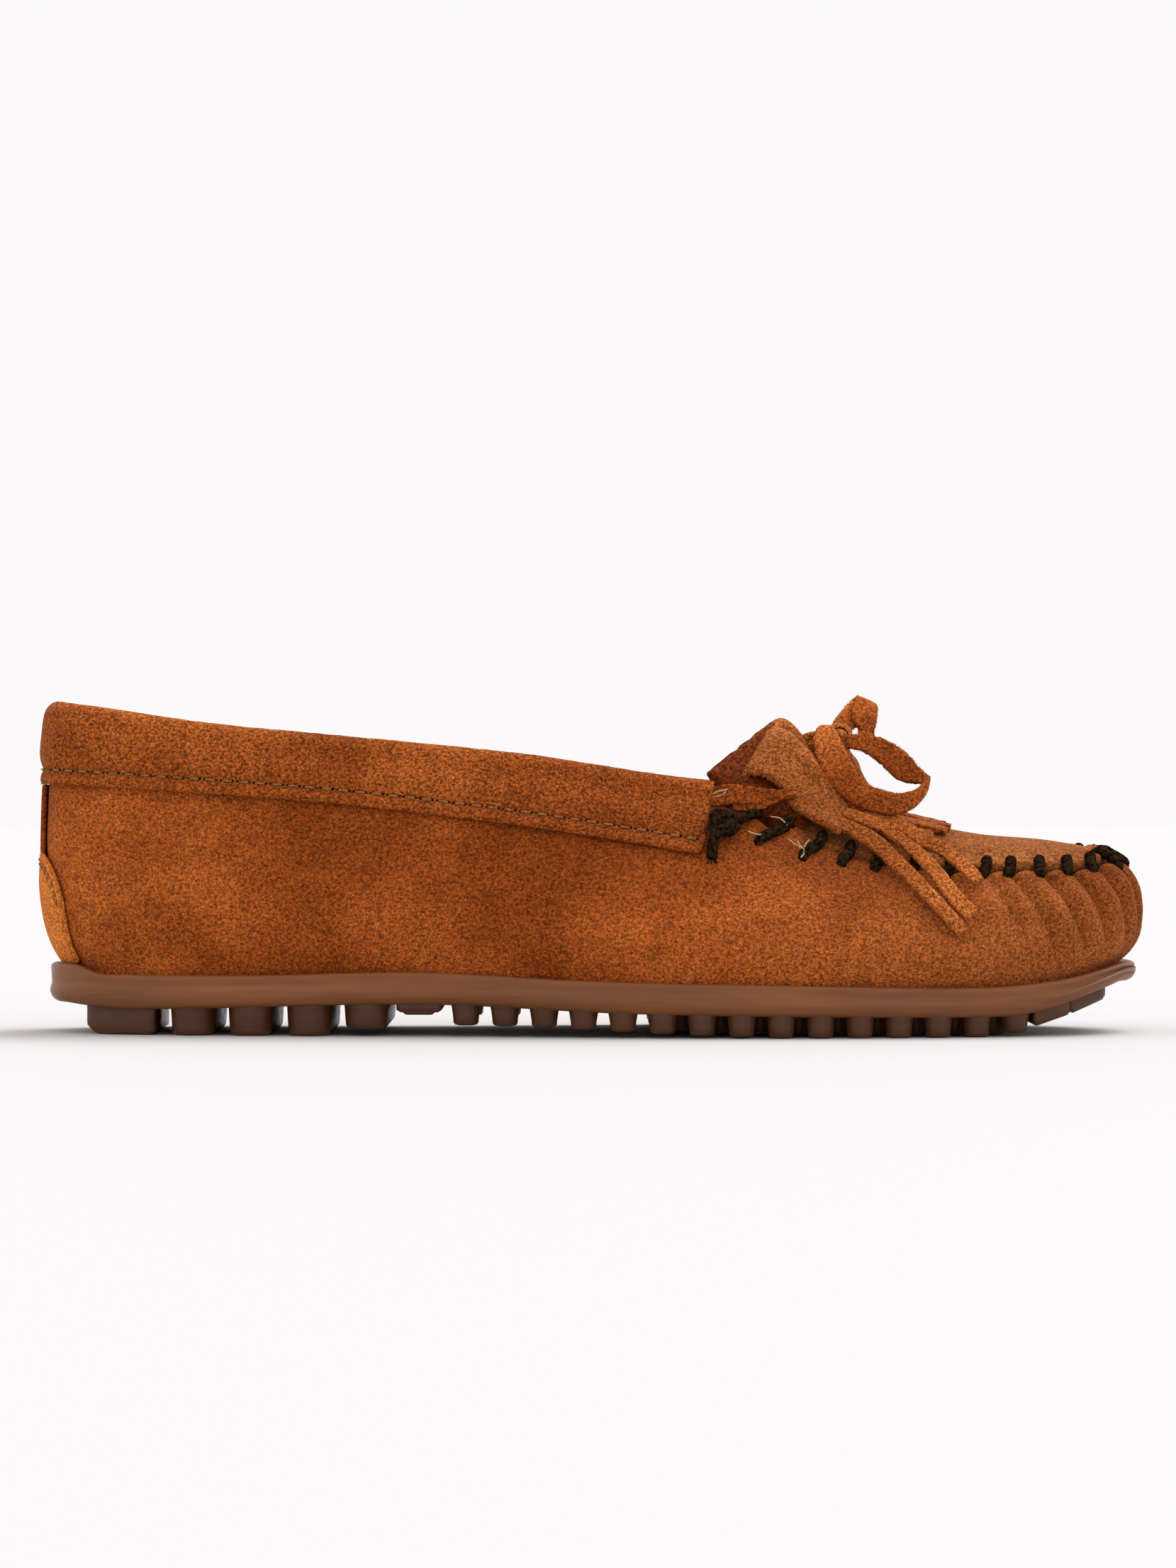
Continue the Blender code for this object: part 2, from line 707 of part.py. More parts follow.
for side, name in ((-1, "outer"), (1, "inner")):
    q = q_at(side, 31.5)
    centre = wall_point(side, 31.5, 48.5, 4.2)
    tail = [centre + Vector((-1.5, 0, -0.5)),
            wall_point(side, 28.6, 46.5, 3.9), wall_point(side, 28.2, 40.5, 3.9)]
    knot = rod(name + "_cord_knot", tail, 1.1, 6, CORD, 0.5)
    bm = bmesh.new()
    bmesh.ops.create_icosphere(bm, subdivisions=2, radius=3.3)
    ball = add(name + "_knot_ball", [centre + v.co for v in bm.verts],
               [tuple(v.index for v in f.verts) for f in bm.faces], CORD, hidden=True)
    bm.free()
    combine(knot, ball, "UNION")


# ---------------------------------------------------------------- tongue and kiltie

def tongue_point(v, w, lift=0.0):
    x = 57 - 9 * v * v + (-13.6 - 6 * v * v) * w
    y = 16.6 * v * (1 - 0.05 * w)
    low = plug_z(57 - 9 * v * v, 0.8 * v) + 2.9
    z = low + (72.6 - 12 * v * v - low) * w
    return Vector((x, y, z)) + Vector((0.8, 0, 0.6)) * lift


TONGUE_HINGE = (48.5, 0, 52.5)
rows = [[tongue_point(-1 + k / 4, w) for k in range(9)] for w in (0.0, 0.34, 0.67, 1.0)]
sheet("tongue", rows, SHEET_THICK, SUEDE, origin=TONGUE_HINGE)

FOLD = Vector((FLAP_FOLD[0], 0, FLAP_FOLD[1]))
half = (STRIPS - 1) / 2
columns = []
for j in range(STRIPS):
    for edge in (-1, 1):
        columns.append((j - half, edge))
rows = []
for w in (0.94, 0.62, 0.30):
    row = []
    for j, edge in columns:
        v = (j + 0.5 * edge * 0.98) / (half + 0.5)
        row.append(tongue_point(v, w, 5.8))
    rows.append(row)
for i in range(9):
    t = i / 8
    row = []
    for j, edge in columns:
        v = (j + 0.5 * edge * 0.98) / (half + 0.5)
        x0 = 60.5 - 4 * v * v
        tip = 92 - 5.5 * (j / half) ** 2
        s0 = 20.5 * v
        s1 = 6.9 * j + edge * 2.1
        x = x0 + (tip - x0) * t
        s = s0 + (s1 - s0) * t
        ridge = math.exp(-((abs(s) - plug_half(-1, x) - 4) / 9) ** 2)
        row.append(over(x, s, FLAP_CLEAR + 1.0 * (1 - t) + 1.9 * ridge))
    rows.append(row)


def in_flap(i, k):
    return i < 4 or k % 2 == 0


kiltie = sheet("kiltie", rows, SHEET_THICK, SUEDE, keep=in_flap, origin=FOLD)

# ---------------------------------------------------------------- lace and bow

def smooth_path(points, steps):
    """More points on a smooth curve through the given ones."""
    pts = [Vector(p) for p in points]
    out = []
    for i in range(len(pts) - 1):
        a, b = pts[i], pts[i + 1]
        ma = (b - pts[max(i - 1, 0)]) / 2
        mb = (pts[min(i + 2, len(pts) - 1)] - a) / 2
        for k in range(steps):
            t = k / steps
            out.append(a * (2 * t ** 3 - 3 * t ** 2 + 1) + ma * (t ** 3 - 2 * t ** 2 + t)
                       + b * (3 * t ** 2 - 2 * t ** 3) + mb * (t ** 3 - t ** 2))
    return out + [pts[-1]]


KNOT = Vector((58.8, -0.5, 69.6))
KNOT_HALF = (4.0, 4.6, 3.8)
bm = bmesh.new()
bmesh.ops.create_icosphere(bm, subdivisions=2, radius=1.0)
verts = [KNOT + Vector([c * h for c, h in zip(v.co, KNOT_HALF)]) for v in bm.verts]
faces = [tuple(v.index for v in f.verts) for f in bm.faces]
bm.free()
knot = add("bow_knot", verts, faces, SUEDE, origin=KNOT, parent=kiltie)


def loop_faces(path, middle):
    """A loop's thong keeps its flat side turned away from the loop's middle."""
    return [(p - Vector(middle)).normalized() for p in path]


path = smooth_path([(58.6, -6.2, 70.2), (55.6, -11, 67), (56.8, -14.5, 60), (63, -17.5, 55),
                    (71, -18.5, 54.8),
                    (77.6, -16.5, 58.4), (76.4, -13, 63.2), (70.5, -10.5, 67), (64.6, -8, 69.2),
                    (62.2, -6.6, 69.8)], 2)
strap("outer_bow_loop", path, [(0.3, -1, 0.3)] * len(path), THONG_WIDTH, THONG_THICK, SUEDE,
      origin=(60, -5.8, 69.8), parent=knot)

path = smooth_path([(60, 5.4, 71.5), (60.6, 8.5, 75), (63.4, 11.5, 78), (67.6, 14, 77.4), (68.6, 15, 73.6),
                    (66, 12, 70.6), (62.4, 8, 69.6), (61, 5.8, 69.2)], 2)
strap("inner_bow_loop", path, loop_faces(path, (64.5, 9, 73.5)), THONG_WIDTH * 0.8, THONG_THICK, SUEDE,
      origin=(60.5, 5.2, 70.4), parent=knot)

for side, name in ((-1, "outer"), (1, "inner")):
    path = [tongue_point(side * 0.30, 0.44, 7.4), tongue_point(side * 0.46, 0.30, 7.2),
            over(61.5, side * 10.0, 6.4), over(66.0, side * 9.2, 6.0)]
    strap(name + "_lace_tail", smooth_path(path, 2), [(0.8, side * 0.5, 0.6)], THONG_WIDTH * 0.8, THONG_THICK,
          SUEDE, parent=kiltie)

for side, name in ((-1, "outer"), (1, "inner")):
    start = skin(side, q_at(side, COLLAR_END + 1.4), 57.2, 0.6)
    path = [start, start + Vector((4.5, -side * 0.6, 0.9)), start + Vector((9, -side * 1.8, 0.6)),
            start + Vector((11.5, -side * 2.4, 0.0))]
    look = [(0, side, 0.3), (0.1, side, 0.3), (0.3, side, 0.3)]
    strap(name + "_lace_end", path, look, THONG_WIDTH * 0.8, 1.1, SUEDE)
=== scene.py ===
"""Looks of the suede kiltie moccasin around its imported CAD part."""

import math
import random

import bmesh
import bpy
import numpy as np
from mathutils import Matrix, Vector, noise


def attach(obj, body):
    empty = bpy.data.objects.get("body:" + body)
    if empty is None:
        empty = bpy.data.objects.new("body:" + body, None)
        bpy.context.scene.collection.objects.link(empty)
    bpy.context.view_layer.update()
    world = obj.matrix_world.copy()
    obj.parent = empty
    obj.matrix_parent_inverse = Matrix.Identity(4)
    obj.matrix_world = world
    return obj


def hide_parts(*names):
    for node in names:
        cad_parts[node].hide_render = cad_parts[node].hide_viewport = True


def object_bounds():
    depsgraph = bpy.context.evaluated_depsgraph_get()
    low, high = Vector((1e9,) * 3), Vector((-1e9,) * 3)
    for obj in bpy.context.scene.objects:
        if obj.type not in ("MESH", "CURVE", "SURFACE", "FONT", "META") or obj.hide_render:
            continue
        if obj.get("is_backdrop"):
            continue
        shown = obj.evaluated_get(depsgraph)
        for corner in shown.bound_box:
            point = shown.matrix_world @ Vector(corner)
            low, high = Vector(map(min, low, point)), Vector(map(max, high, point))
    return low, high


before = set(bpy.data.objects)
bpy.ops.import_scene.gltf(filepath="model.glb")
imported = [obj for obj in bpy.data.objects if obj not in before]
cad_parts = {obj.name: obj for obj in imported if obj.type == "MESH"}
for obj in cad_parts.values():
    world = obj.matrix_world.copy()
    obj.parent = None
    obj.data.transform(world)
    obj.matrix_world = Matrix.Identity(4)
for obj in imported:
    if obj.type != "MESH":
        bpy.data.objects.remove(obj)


def plain(value):
    """A bounds value as plain lists."""
    if isinstance(value, dict):
        return {k: plain(v) for k, v in value.items()}
    if isinstance(value, (list, tuple, Vector)):
        return [plain(v) for v in value]
    return float(value) if isinstance(value, (int, float)) else value


sizes = {"after_load": plain(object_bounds())}
MM = 0.001

# ---- form of the shoe, mm
# Tables of pairs hold (x, value) stations from heel to toe.

HEEL_END, TOE_END = -127.9, 129.2
OUTER_WIDTH = ((-125, 34), (-85, 33.5), (-35, 34), (10, 41.5), (45, 44), (80, 43.5), (127, 41))
INNER_WIDTH = ((-125, 33.5), (-85, 32), (-35, 28.5), (10, 35), (50, 43), (80, 43.5), (127, 42))
HEEL_ROUND, TOE_ROUND = 2.9, 2.8
SOLE_TOP = ((-125, 14.2), (-80, 14.2), (-40, 15), (0, 13.2), (45, 12.3), (90, 11.6), (110, 13.2), (126, 16.8))
SOLE_EDGE = ((-125, 7.2), (-110, 6), (-40, 7.4), (10, 5.5), (90, 4.6), (105, 5.6), (126, 12.2))
COLLAR_TOP = ((-127, 78), (-115, 76.3), (-90, 72.8), (-60, 70), (-20, 65.9), (10, 61.4), (30, 58.8))
COLLAR_FOOT = ((-127, 58.7), (-100, 57), (-60, 54), (-20, 49.3), (10, 44.8), (30, 41.5))
SEAM_EDGE = ((27, 54.2), (40, 50.5), (52, 46), (70, 42), (90, 40), (127, 40.4))
INNER_RISE, TIP_RISE = 2.4, 1.6
THROAT = 27  # x where the collar ends and the toe seam begins
LACE_ROOM = 4.6
LEAN = ((-125, 0.6), (-115, 4), (-90, 7), (-50, 9.5), (0, 14), (30, 18.5), (60, 18.5), (90, 15), (112, 9),
        (127, 6.4))
LEAN_POWER = ((-125, 1.5), (-50, 1.7), (30, 1.9), (80, 2.3), (105, 3.6), (127, 6))
BELLY = ((-125, 0.9), (-60, 1.2), (20, 1), (80, 1.2), (127, 1.2))
TUCK = ((-125, 7.2), (-112, 4.4), (-90, 3), (90, 3), (127, 3.8))
CROWN = ((40, 5), (55, 8.5), (76, 8.5), (92, 6.6), (108, 4), (122, 1.2))
THICK, GAP = 2.0, 0.3


def ease(a, b, x):
    t = min(1.0, max(0.0, (x - a) / (b - a)))
    return t * t * (3 - 2 * t)


def along(stations, x):
    """Smooth value through a few (x, value) stations."""
    if x <= stations[0][0]:
        return stations[0][1]
    for i in range(len(stations) - 1):
        x0, v0 = stations[i]
        x1, v1 = stations[i + 1]
        if x <= x1:
            p, n = stations[max(i - 1, 0)], stations[min(i + 2, len(stations) - 1)]
            m0, m1, h = (v1 - p[1]) / (x1 - p[0]), (n[1] - v0) / (n[0] - x0), x1 - x0
            t = (x - x0) / h
            a = (2 * t ** 3 - 3 * t ** 2 + 1) * v0 + (t ** 3 - 2 * t ** 2 + t) * h * m0
            return a + (-2 * t ** 3 + 3 * t ** 2) * v1 + (t ** 3 - t ** 2) * h * m1
    return stations[-1][1]


MID, HALF = (HEEL_END + TOE_END) / 2, (TOE_END - HEEL_END) / 2
OUTLINE_STEPS = 1200
END_SHARE = 0.012


def outline(side):
    """Edge of the sole on one side, from heel to toe."""
    width = OUTER_WIDTH if side < 0 else INNER_WIDTH
    pts = []
    for i in range(OUTLINE_STEPS + 1):
        a = math.pi * i / OUTLINE_STEPS
        c = -math.cos(a)
        power = HEEL_ROUND if c < 0 else TOE_ROUND
        x = MID + HALF * math.copysign(abs(c) ** (2 / power), c)
        pts.append((x, side * along(width, x) * abs(math.sin(a)) ** (2 / power)))
    return pts


def spaced(pts):
    """Fraction along the edge at each point, with the curved ends given more of it."""
    total = [0.0]
    for p, q in zip(pts, pts[1:]):
        x = (p[0] + q[0]) / 2
        ends = 1.0 + 0.9 * (ease(-95, -120, x) + ease(95, 120, x))
        total.append(total[-1] + math.hypot(q[0] - p[0], q[1] - p[1]) * ends)
    return [t / total[-1] for t in total]


EDGE = {s: outline(s) for s in (-1, 1)}
MARK = {s: spaced(EDGE[s]) for s in (-1, 1)}


def plan(side, q):
    """Point on the sole edge and its inward direction at fraction q from heel to toe."""
    pts, mark = EDGE[side], MARK[side]
    q = min(1.0, max(0.0, q))
    hi = min(max(int(np.searchsorted(mark, q, side="right")), 1), len(mark) - 1)
    lo = hi - 1
    t = min(1.0, (q - mark[lo]) / max(mark[hi] - mark[lo], 1e-9))
    p, r = pts[lo], pts[hi]
    a, b = pts[max(lo - 12, 0)], pts[min(hi + 12, len(pts) - 1)]
    tx, ty = b[0] - a[0], b[1] - a[1]
    if q < END_SHARE:
        w = q / END_SHARE
        tx, ty = tx * w, ty * w + side * (1 - w)
    if 1 - q < END_SHARE:
        w = (1 - q) / END_SHARE
        tx, ty = tx * w, ty * w - side * (1 - w)
    n = math.hypot(tx, ty)
    return p[0] + (r[0] - p[0]) * t, p[1] + (r[1] - p[1]) * t, side * ty / n, -side * tx / n


def bisect(lo, hi, steps, below):
    """Where `below` stops being true between lo and hi."""
    for _ in range(steps):
        m = (lo + hi) / 2
        if below(m):
            lo = m
        else:
            hi = m
    return lo


def q_at(side, x):
    """Fraction along the edge at which it reaches x."""
    return bisect(0.0, 1.0, 36, lambda q: plan(side, q)[0] < x)


def wrap_edge(x, side=-1):
    """Height of the seam; round the toe the inner side stands higher."""
    if x >= THROAT:
        inner = (1 + side) / 2 * INNER_RISE * ease(92, 110, x) * (1 - ease(119, 128, x))
        return along(SEAM_EDGE, x) + inner + TIP_RISE * ease(119, 128, x)
    t = ease(THROAT - 7, THROAT, x)
    return (along(COLLAR_TOP, x) - LACE_ROOM) * (1 - t) + along(SEAM_EDGE, THROAT) * t


def inset(x, z, side=-1):
    """How far the upper stands in from the sole edge at this x and height."""
    low = along(SOLE_TOP, x)
    f = min(1.0, max(0.0, (z - low) / (wrap_edge(x, side) - low)))
    tuck = along(TUCK, x) * (1 - f) ** 8
    return tuck + along(LEAN, x) * f ** along(LEAN_POWER, x) - along(BELLY, x) * math.sin(math.pi * f)


def skin(side, q, z, depth=0.0):
    """Point on the upper, `depth` mm under its outer face."""
    x, y, nx, ny = plan(side, q)
    d = inset(x, z, side) + depth
    return Vector((x + nx * d, y + ny * d, z))


def sole_top(x):
    return along(SOLE_TOP, x)


def sole_edge(x):
    return along(SOLE_EDGE, x)


def plug_edge(side, q):
    return skin(side, q, wrap_edge(plan(side, q)[0], side), THICK + GAP)


def plug_half(side, x):
    """Half width of the plug at x on one side."""
    q = bisect(q_at(side, x) - 0.02, 1.0, 26, lambda q: plug_edge(side, q).x < x)
    return abs(plug_edge(side, q).y)


PLUG_XS = [*range(26, 116, 3), 116, 117, 118, 119, 120, 120.6]
HALVES = {s: [plug_half(s, x) for x in PLUG_XS] for s in (-1, 1)}


def half_at(side, x):
    return np.interp(x, PLUG_XS, HALVES[side])


def plug_z(x, v):
    """Height of the plug at x and at share v of its half width."""
    return wrap_edge(x, v) + 0.2 + along(CROWN, x) * max(0.0, 1 - v * v) ** 0.9


def plug_top(x, y):
    side = -1 if y < 0 else 1
    return plug_z(x, side * min(1.0, abs(y) / max(half_at(side, x), 1e-3)))


def wall_q(side, x, z):
    q = q_at(side, x)
    for _ in range(5):
        q += (x - skin(side, q, z).x) / 420.0
    return q


def wall_point(side, x, z, lift=0.0):
    """Point on the wrap's outer face at this x and height, moved `lift` off it."""
    q = wall_q(side, x, z)
    p = skin(side, q, z)
    a = skin(side, q, z + 0.6) - skin(side, q, z - 0.6)
    b = skin(side, q + 0.004, z) - skin(side, q - 0.004, z)
    n = a.cross(b).normalized()
    return p + (-n if n.y * side < 0 else n) * lift


def run_along(points):
    """Distance along a line of points at each of them."""
    run = [0.0]
    for a, b in zip(points, points[1:]):
        run.append(run[-1] + math.dist(a, b))
    return np.array(run)


LINES = {}


def section_line(side, x):
    """The vamp's cross line at a whole x: centre of the plug, over the seam, down the wrap."""
    if (side, x) not in LINES:
        half = half_at(side, x)
        line = [(side * half * k / 12, plug_z(x, side * k / 12)) for k in range(13)]
        top = wrap_edge(x, side)
        for k in range(1, 13):
            p = wall_point(side, x, top - k * (top - sole_top(x) - 2) / 12)
            line.append((p.y, p.z))
        LINES[side, x] = run_along(line), np.array(line)
    return LINES[side, x]


def over(x, s, lift=0.0):
    """Point at distance s from the centre line across the vamp at x, `lift` above the leather."""
    side = -1 if s < 0 else 1
    whole = math.floor(x)
    out = []
    for at in (abs(s) - 0.7, abs(s), abs(s) + 0.7):
        y = z = 0.0
        for x0, share in ((whole, 1 - (x - whole)), (whole + 1, x - whole)):
            run, line = section_line(side, x0)
            y += share * np.interp(max(at, 0.0), run, line[:, 0])
            z += share * np.interp(max(at, 0.0), run, line[:, 1])
        out.append((y, z))
    n = Vector((0, -(out[2][1] - out[0][1]), out[2][0] - out[0][0]))
    n = -n if n.z < 0 or (abs(n.z) < 1e-6 and n.y * side < 0) else n
    n.normalize()
    return Vector((x, out[1][0], out[1][1])) + n * lift


def across(side, x, z):
    """Distance from the centre line at which the vamp's surface at x is at height z."""
    return side * bisect(0.0, 75.0, 22, lambda s: over(x, side * s).z > z)


# ---- the seam and its stitches


def toe_stations(x, count):
    """(side, q) round the toe between the two sides at x."""
    steps = [(-1, i) for i in range(count + 1)] + [(1, i) for i in range(count - 1, -1, -1)]
    start = {side: q_at(side, x) for side in (-1, 1)}
    return [(side, start[side] + (1 - start[side]) * i / count) for side, i in steps]


def seam_point(side, q):
    """Point of the seam on the wrap."""
    return skin(side, q, wrap_edge(plan(side, q)[0], side), 1.0)


SEAM_STEPS = 300
SEAM = [(side, q, seam_point(side, q)) for side, q in toe_stations(THROAT + 1, SEAM_STEPS)]
RUN = run_along([p for _, _, p in SEAM])
MIDDLE = RUN[SEAM_STEPS]


def seam_at(run):
    """(side, q) at this distance along the seam from the outer throat."""
    i = int(np.clip(np.searchsorted(RUN, run), 1, len(RUN) - 1))
    t = min(1.0, max(0.0, (run - RUN[i - 1]) / max(RUN[i] - RUN[i - 1], 1e-6)))
    a, b = SEAM[i - 1], SEAM[i]
    side = a[0] if t < 0.5 else b[0]
    if a[0] == b[0]:
        return side, a[1] + (b[1] - a[1]) * t
    return side, a[1] if t < 0.5 else b[1]


def run_of(side, q):
    """Distance along the seam at fraction q of one side."""
    ks = range(SEAM_STEPS + 1) if side < 0 else range(len(SEAM) - 1, SEAM_STEPS - 1, -1)
    return float(np.interp(q, [SEAM[k][1] for k in ks], [RUN[k] for k in ks]))


def run_at_x(x):
    """Distance along the seam at which its outer side reaches x."""
    return bisect(0.0, MIDDLE, 30, lambda run: seam_point(*seam_at(run)).x < x)


# x and forward lean of each stitch on the outer side, from the throat to the toe
STITCH_X = ((42.7, 7.4), (51.6, 5.0), (59.4, 2.6), (66.8, 2.0), (75, 2.0), (83, 2.2), (91.2, 2.4),
            (97.0, 1.9), (104.3, 0.6), (110.8, 0.5), (116.6, 0.2))
STITCH_PITCH = 6.3
STITCHES = [(run_at_x(x), lean) for x, lean in STITCH_X]
last = STITCHES[-1][0]
count = round((MIDDLE - last) / STITCH_PITCH)
for i in range(1, count + 1):
    STITCHES.append((last + (MIDDLE - last) * i / count, 0.0 if i == count else -0.4))
STITCHES += [(2 * MIDDLE - r, -lean) for r, lean in reversed(STITCHES[:-1])]
STITCH_RUNS = np.array([r for r, _ in STITCHES])


def gather(run, down):
    """Relief of the gathered leather `down` mm below the seam: lobes between stitches, folds at them."""
    far = abs(run - MIDDLE)
    toe = ease(66, 26, far)
    drift = math.copysign(0.36 * down, MIDDLE - run) * min(1.0, far / 25) * (0.4 + 0.6 * toe)
    r = run - drift
    k = int(np.clip(np.searchsorted(STITCH_RUNS, r), 1, len(STITCH_RUNS) - 1))
    a, b = STITCH_RUNS[k - 1], STITCH_RUNS[k]
    t = min(1.0, max(0.0, (r - a) / (b - a)))
    near = k - 1 if t < 0.5 else k
    lobe = abs(math.sin(math.pi * t)) ** 0.5
    inside = ease(STITCH_RUNS[0] - 6, STITCH_RUNS[0], r) * ease(STITCH_RUNS[-1] + 6, STITCH_RUNS[-1], r)
    reach = (7 + 11 * toe) * (1 + 0.45 * noise.noise(Vector((near * 2.3, 0, 5))))
    strength = 1 + 0.5 * noise.noise(Vector((near * 1.9, 7, 1)))
    size = (1.35 + 2.4 * toe) * strength * math.exp(-(down / reach) ** 1.5) * inside
    return (lobe - 0.7) * size


# ---- materials

def principled(name, rough):
    m = bpy.data.materials.new(name)
    m.use_nodes = True
    nt = m.node_tree
    b = nt.nodes["Principled BSDF"]
    b.inputs["Roughness"].default_value = rough
    return m, nt, b


def node(nt, kind, **values):
    n = nt.nodes.new(kind)
    for k, v in values.items():
        n.inputs[k].default_value = v
    return n


def coords(nt):
    return node(nt, "ShaderNodeTexCoord").outputs["Object"]


def noise_at(nt, where, scale, detail=2.0, rough=0.5, stretch=None):
    n = node(nt, "ShaderNodeTexNoise", Scale=scale, Detail=detail, Roughness=rough)
    if stretch:
        m = node(nt, "ShaderNodeMapping")
        m.inputs["Scale"].default_value = stretch
        nt.links.new(where, m.inputs["Vector"])
        nt.links.new(m.outputs[0], n.inputs["Vector"])
    else:
        nt.links.new(where, n.inputs["Vector"])
    return n.outputs["Fac"]


def ramp(nt, fac, stops):
    """Colours between (position, colour) stops."""
    r = node(nt, "ShaderNodeValToRGB")
    while len(r.color_ramp.elements) < len(stops):
        r.color_ramp.elements.new(0.5)
    for e, (p, c) in zip(r.color_ramp.elements, stops):
        e.position = p
        e.color = (*c, 1)
    nt.links.new(fac, r.inputs[0])
    return r.outputs[0]


def map_range(nt, fac, low, high, to_low=0.0, to_high=1.0):
    spans = {"From Min": low, "From Max": high, "To Min": to_low, "To Max": to_high}
    r = node(nt, "ShaderNodeMapRange", **spans)
    nt.links.new(fac, r.inputs["Value"])
    return r.outputs["Result"]


def mix(nt, kind, a, b, fac):
    m = nt.nodes.new("ShaderNodeMix")
    m.data_type = "RGBA"
    m.blend_type = kind
    for socket, value in ((m.inputs[6], a), (m.inputs[7], b), (m.inputs[0], fac)):
        if hasattr(value, "is_output"):
            nt.links.new(value, socket)
        else:
            socket.default_value = value
    return m.outputs[2]


def tint(nt, base, fac, stops):
    """The base colour multiplied by a ramp."""
    return mix(nt, "MULTIPLY", base, ramp(nt, fac, stops), 1.0)


def bump(nt, b, heights):
    """Stack (height socket, strength, distance mm) bumps on a shader."""
    last = None
    for h, strength, mm in heights:
        n = node(nt, "ShaderNodeBump", Strength=strength, Distance=mm * MM)
        nt.links.new(h, n.inputs["Height"])
        if last:
            nt.links.new(last, n.inputs["Normal"])
        last = n.outputs[0]
    nt.links.new(last, b.inputs["Normal"])


def suede(name, dark, mid, light, grain=1.0, patch=1.0, front=None):
    """Napped leather: large brushed patches, faint clouds, and a strong fine fibre grain.

    `patch` sharpens the patches; `front` is a tint that comes in towards the toe."""
    m, nt, b = principled(name, 0.92)
    where = coords(nt)
    big = noise_at(nt, where, 24, 2.0, 0.5, (0.8, 1.0, 1.3))
    cloud = noise_at(nt, where, 150, 2.0, 0.5)
    tuft = noise_at(nt, where, 1350, 2.5, 0.55, (1.0, 1.0, 1.15))
    fibre = noise_at(nt, where, 2900, 2.0, 0.6)
    base = ramp(nt, big, ((0.5 - 0.16 / patch, dark), (0.5, mid), (0.5 + 0.16 / patch, light)))
    base = tint(nt, base, cloud, ((0.3, (0.90, 0.88, 0.86)), (0.7, (1.08, 1.10, 1.12))))
    low, high = 1 - 0.42 * grain, 1 + 0.38 * grain
    dark, light = (low, low * 0.9, low * 0.82), (high, high * 1.07, high * 1.15)
    base = tint(nt, base, fibre, ((0.36, dark), (0.64, light)))
    low, high = 1 - 0.50 * grain, 1 + 0.48 * grain
    dark, light = (low, low * 0.97, low * 0.94), (high, high * 1.03, high * 1.06)
    base = tint(nt, base, tuft, ((0.34, dark), (0.66, light)))
    if front:
        parts = node(nt, "ShaderNodeSeparateXYZ")
        nt.links.new(where, parts.inputs[0])
        forward = map_range(nt, parts.outputs["X"], 0.02, 0.11)
        base = tint(nt, base, forward, ((0.1, (1.0, 1.0, 1.0)), (0.9, front)))
    nt.links.new(base, b.inputs["Base Color"])
    b.inputs["Specular IOR Level"].default_value = 0.08
    b.inputs["Sheen Weight"].default_value = 0.10
    b.inputs["Sheen Roughness"].default_value = 0.45
    b.inputs["Sheen Tint"].default_value = (1.0, 0.55, 0.25, 1)
    bump(nt, b, ((cloud, 0.3, 0.5), (tuft, 1.0, 0.60), (fibre, 0.8, 0.16)))
    return m


SUEDE = suede("suede", (0.2448, 0.0472, 0.0055), (0.3281, 0.0679, 0.0095),
              (0.4166, 0.0951, 0.0151), patch=1.5, front=(0.82, 0.92, 1.2))
SUEDE_VAMP = suede("suede_vamp", (0.2728, 0.0763, 0.0166), (0.3293, 0.0998, 0.0238),
                   (0.3951, 0.1272, 0.0320))
SUEDE_COLLAR = suede("suede_collar", (0.2226, 0.0431, 0.0053), (0.2915, 0.0608, 0.0082),
                     (0.3710, 0.0862, 0.0131), grain=1.2)
# darker copy of the suede: painted shade for the tongue's shaded inner face and the gap under the lace ends
SUEDE_PAINTED_SHADE = suede("suede_painted_shade", (0.1224, 0.0207, 0.0024), (0.1603, 0.0292, 0.0037),
                     (0.2041, 0.0414, 0.0059), grain=1.2)
# the flap's suede is darkened as painted shade; the bow knot wraps and lace tails share it
SUEDE_FLAP = suede("suede_flap", (0.2322, 0.0558, 0.0094), (0.3096, 0.0804, 0.0148),
                   (0.4042, 0.1148, 0.0250), grain=1.15)
# the fringe's suede, cut from the same leather as the flap, is brightened as painted light
SUEDE_FRINGE_LIT = suede("suede_fringe_lit", (0.2936, 0.0685, 0.0108), (0.3915, 0.0988, 0.0171),
                     (0.5111, 0.1411, 0.0289), grain=1.15)
# the bow loops' suede is brightened for their lit front strands: painted light
SUEDE_BAND_LIT = suede("suede_band_lit", (0.2400, 0.0451, 0.0055), (0.3600, 0.0788, 0.0115),
                   (0.4800, 0.1208, 0.0204), grain=1.1, patch=1.5)
# the heel patch is paler leather, brightened further as painted light from the left
SUEDE_PATCH_PALE_LIT = suede("suede_patch_pale_lit", (0.5124, 0.1296, 0.0187), (0.6100, 0.1674, 0.0255),
                    (0.7076, 0.2052, 0.0340), grain=0.8)


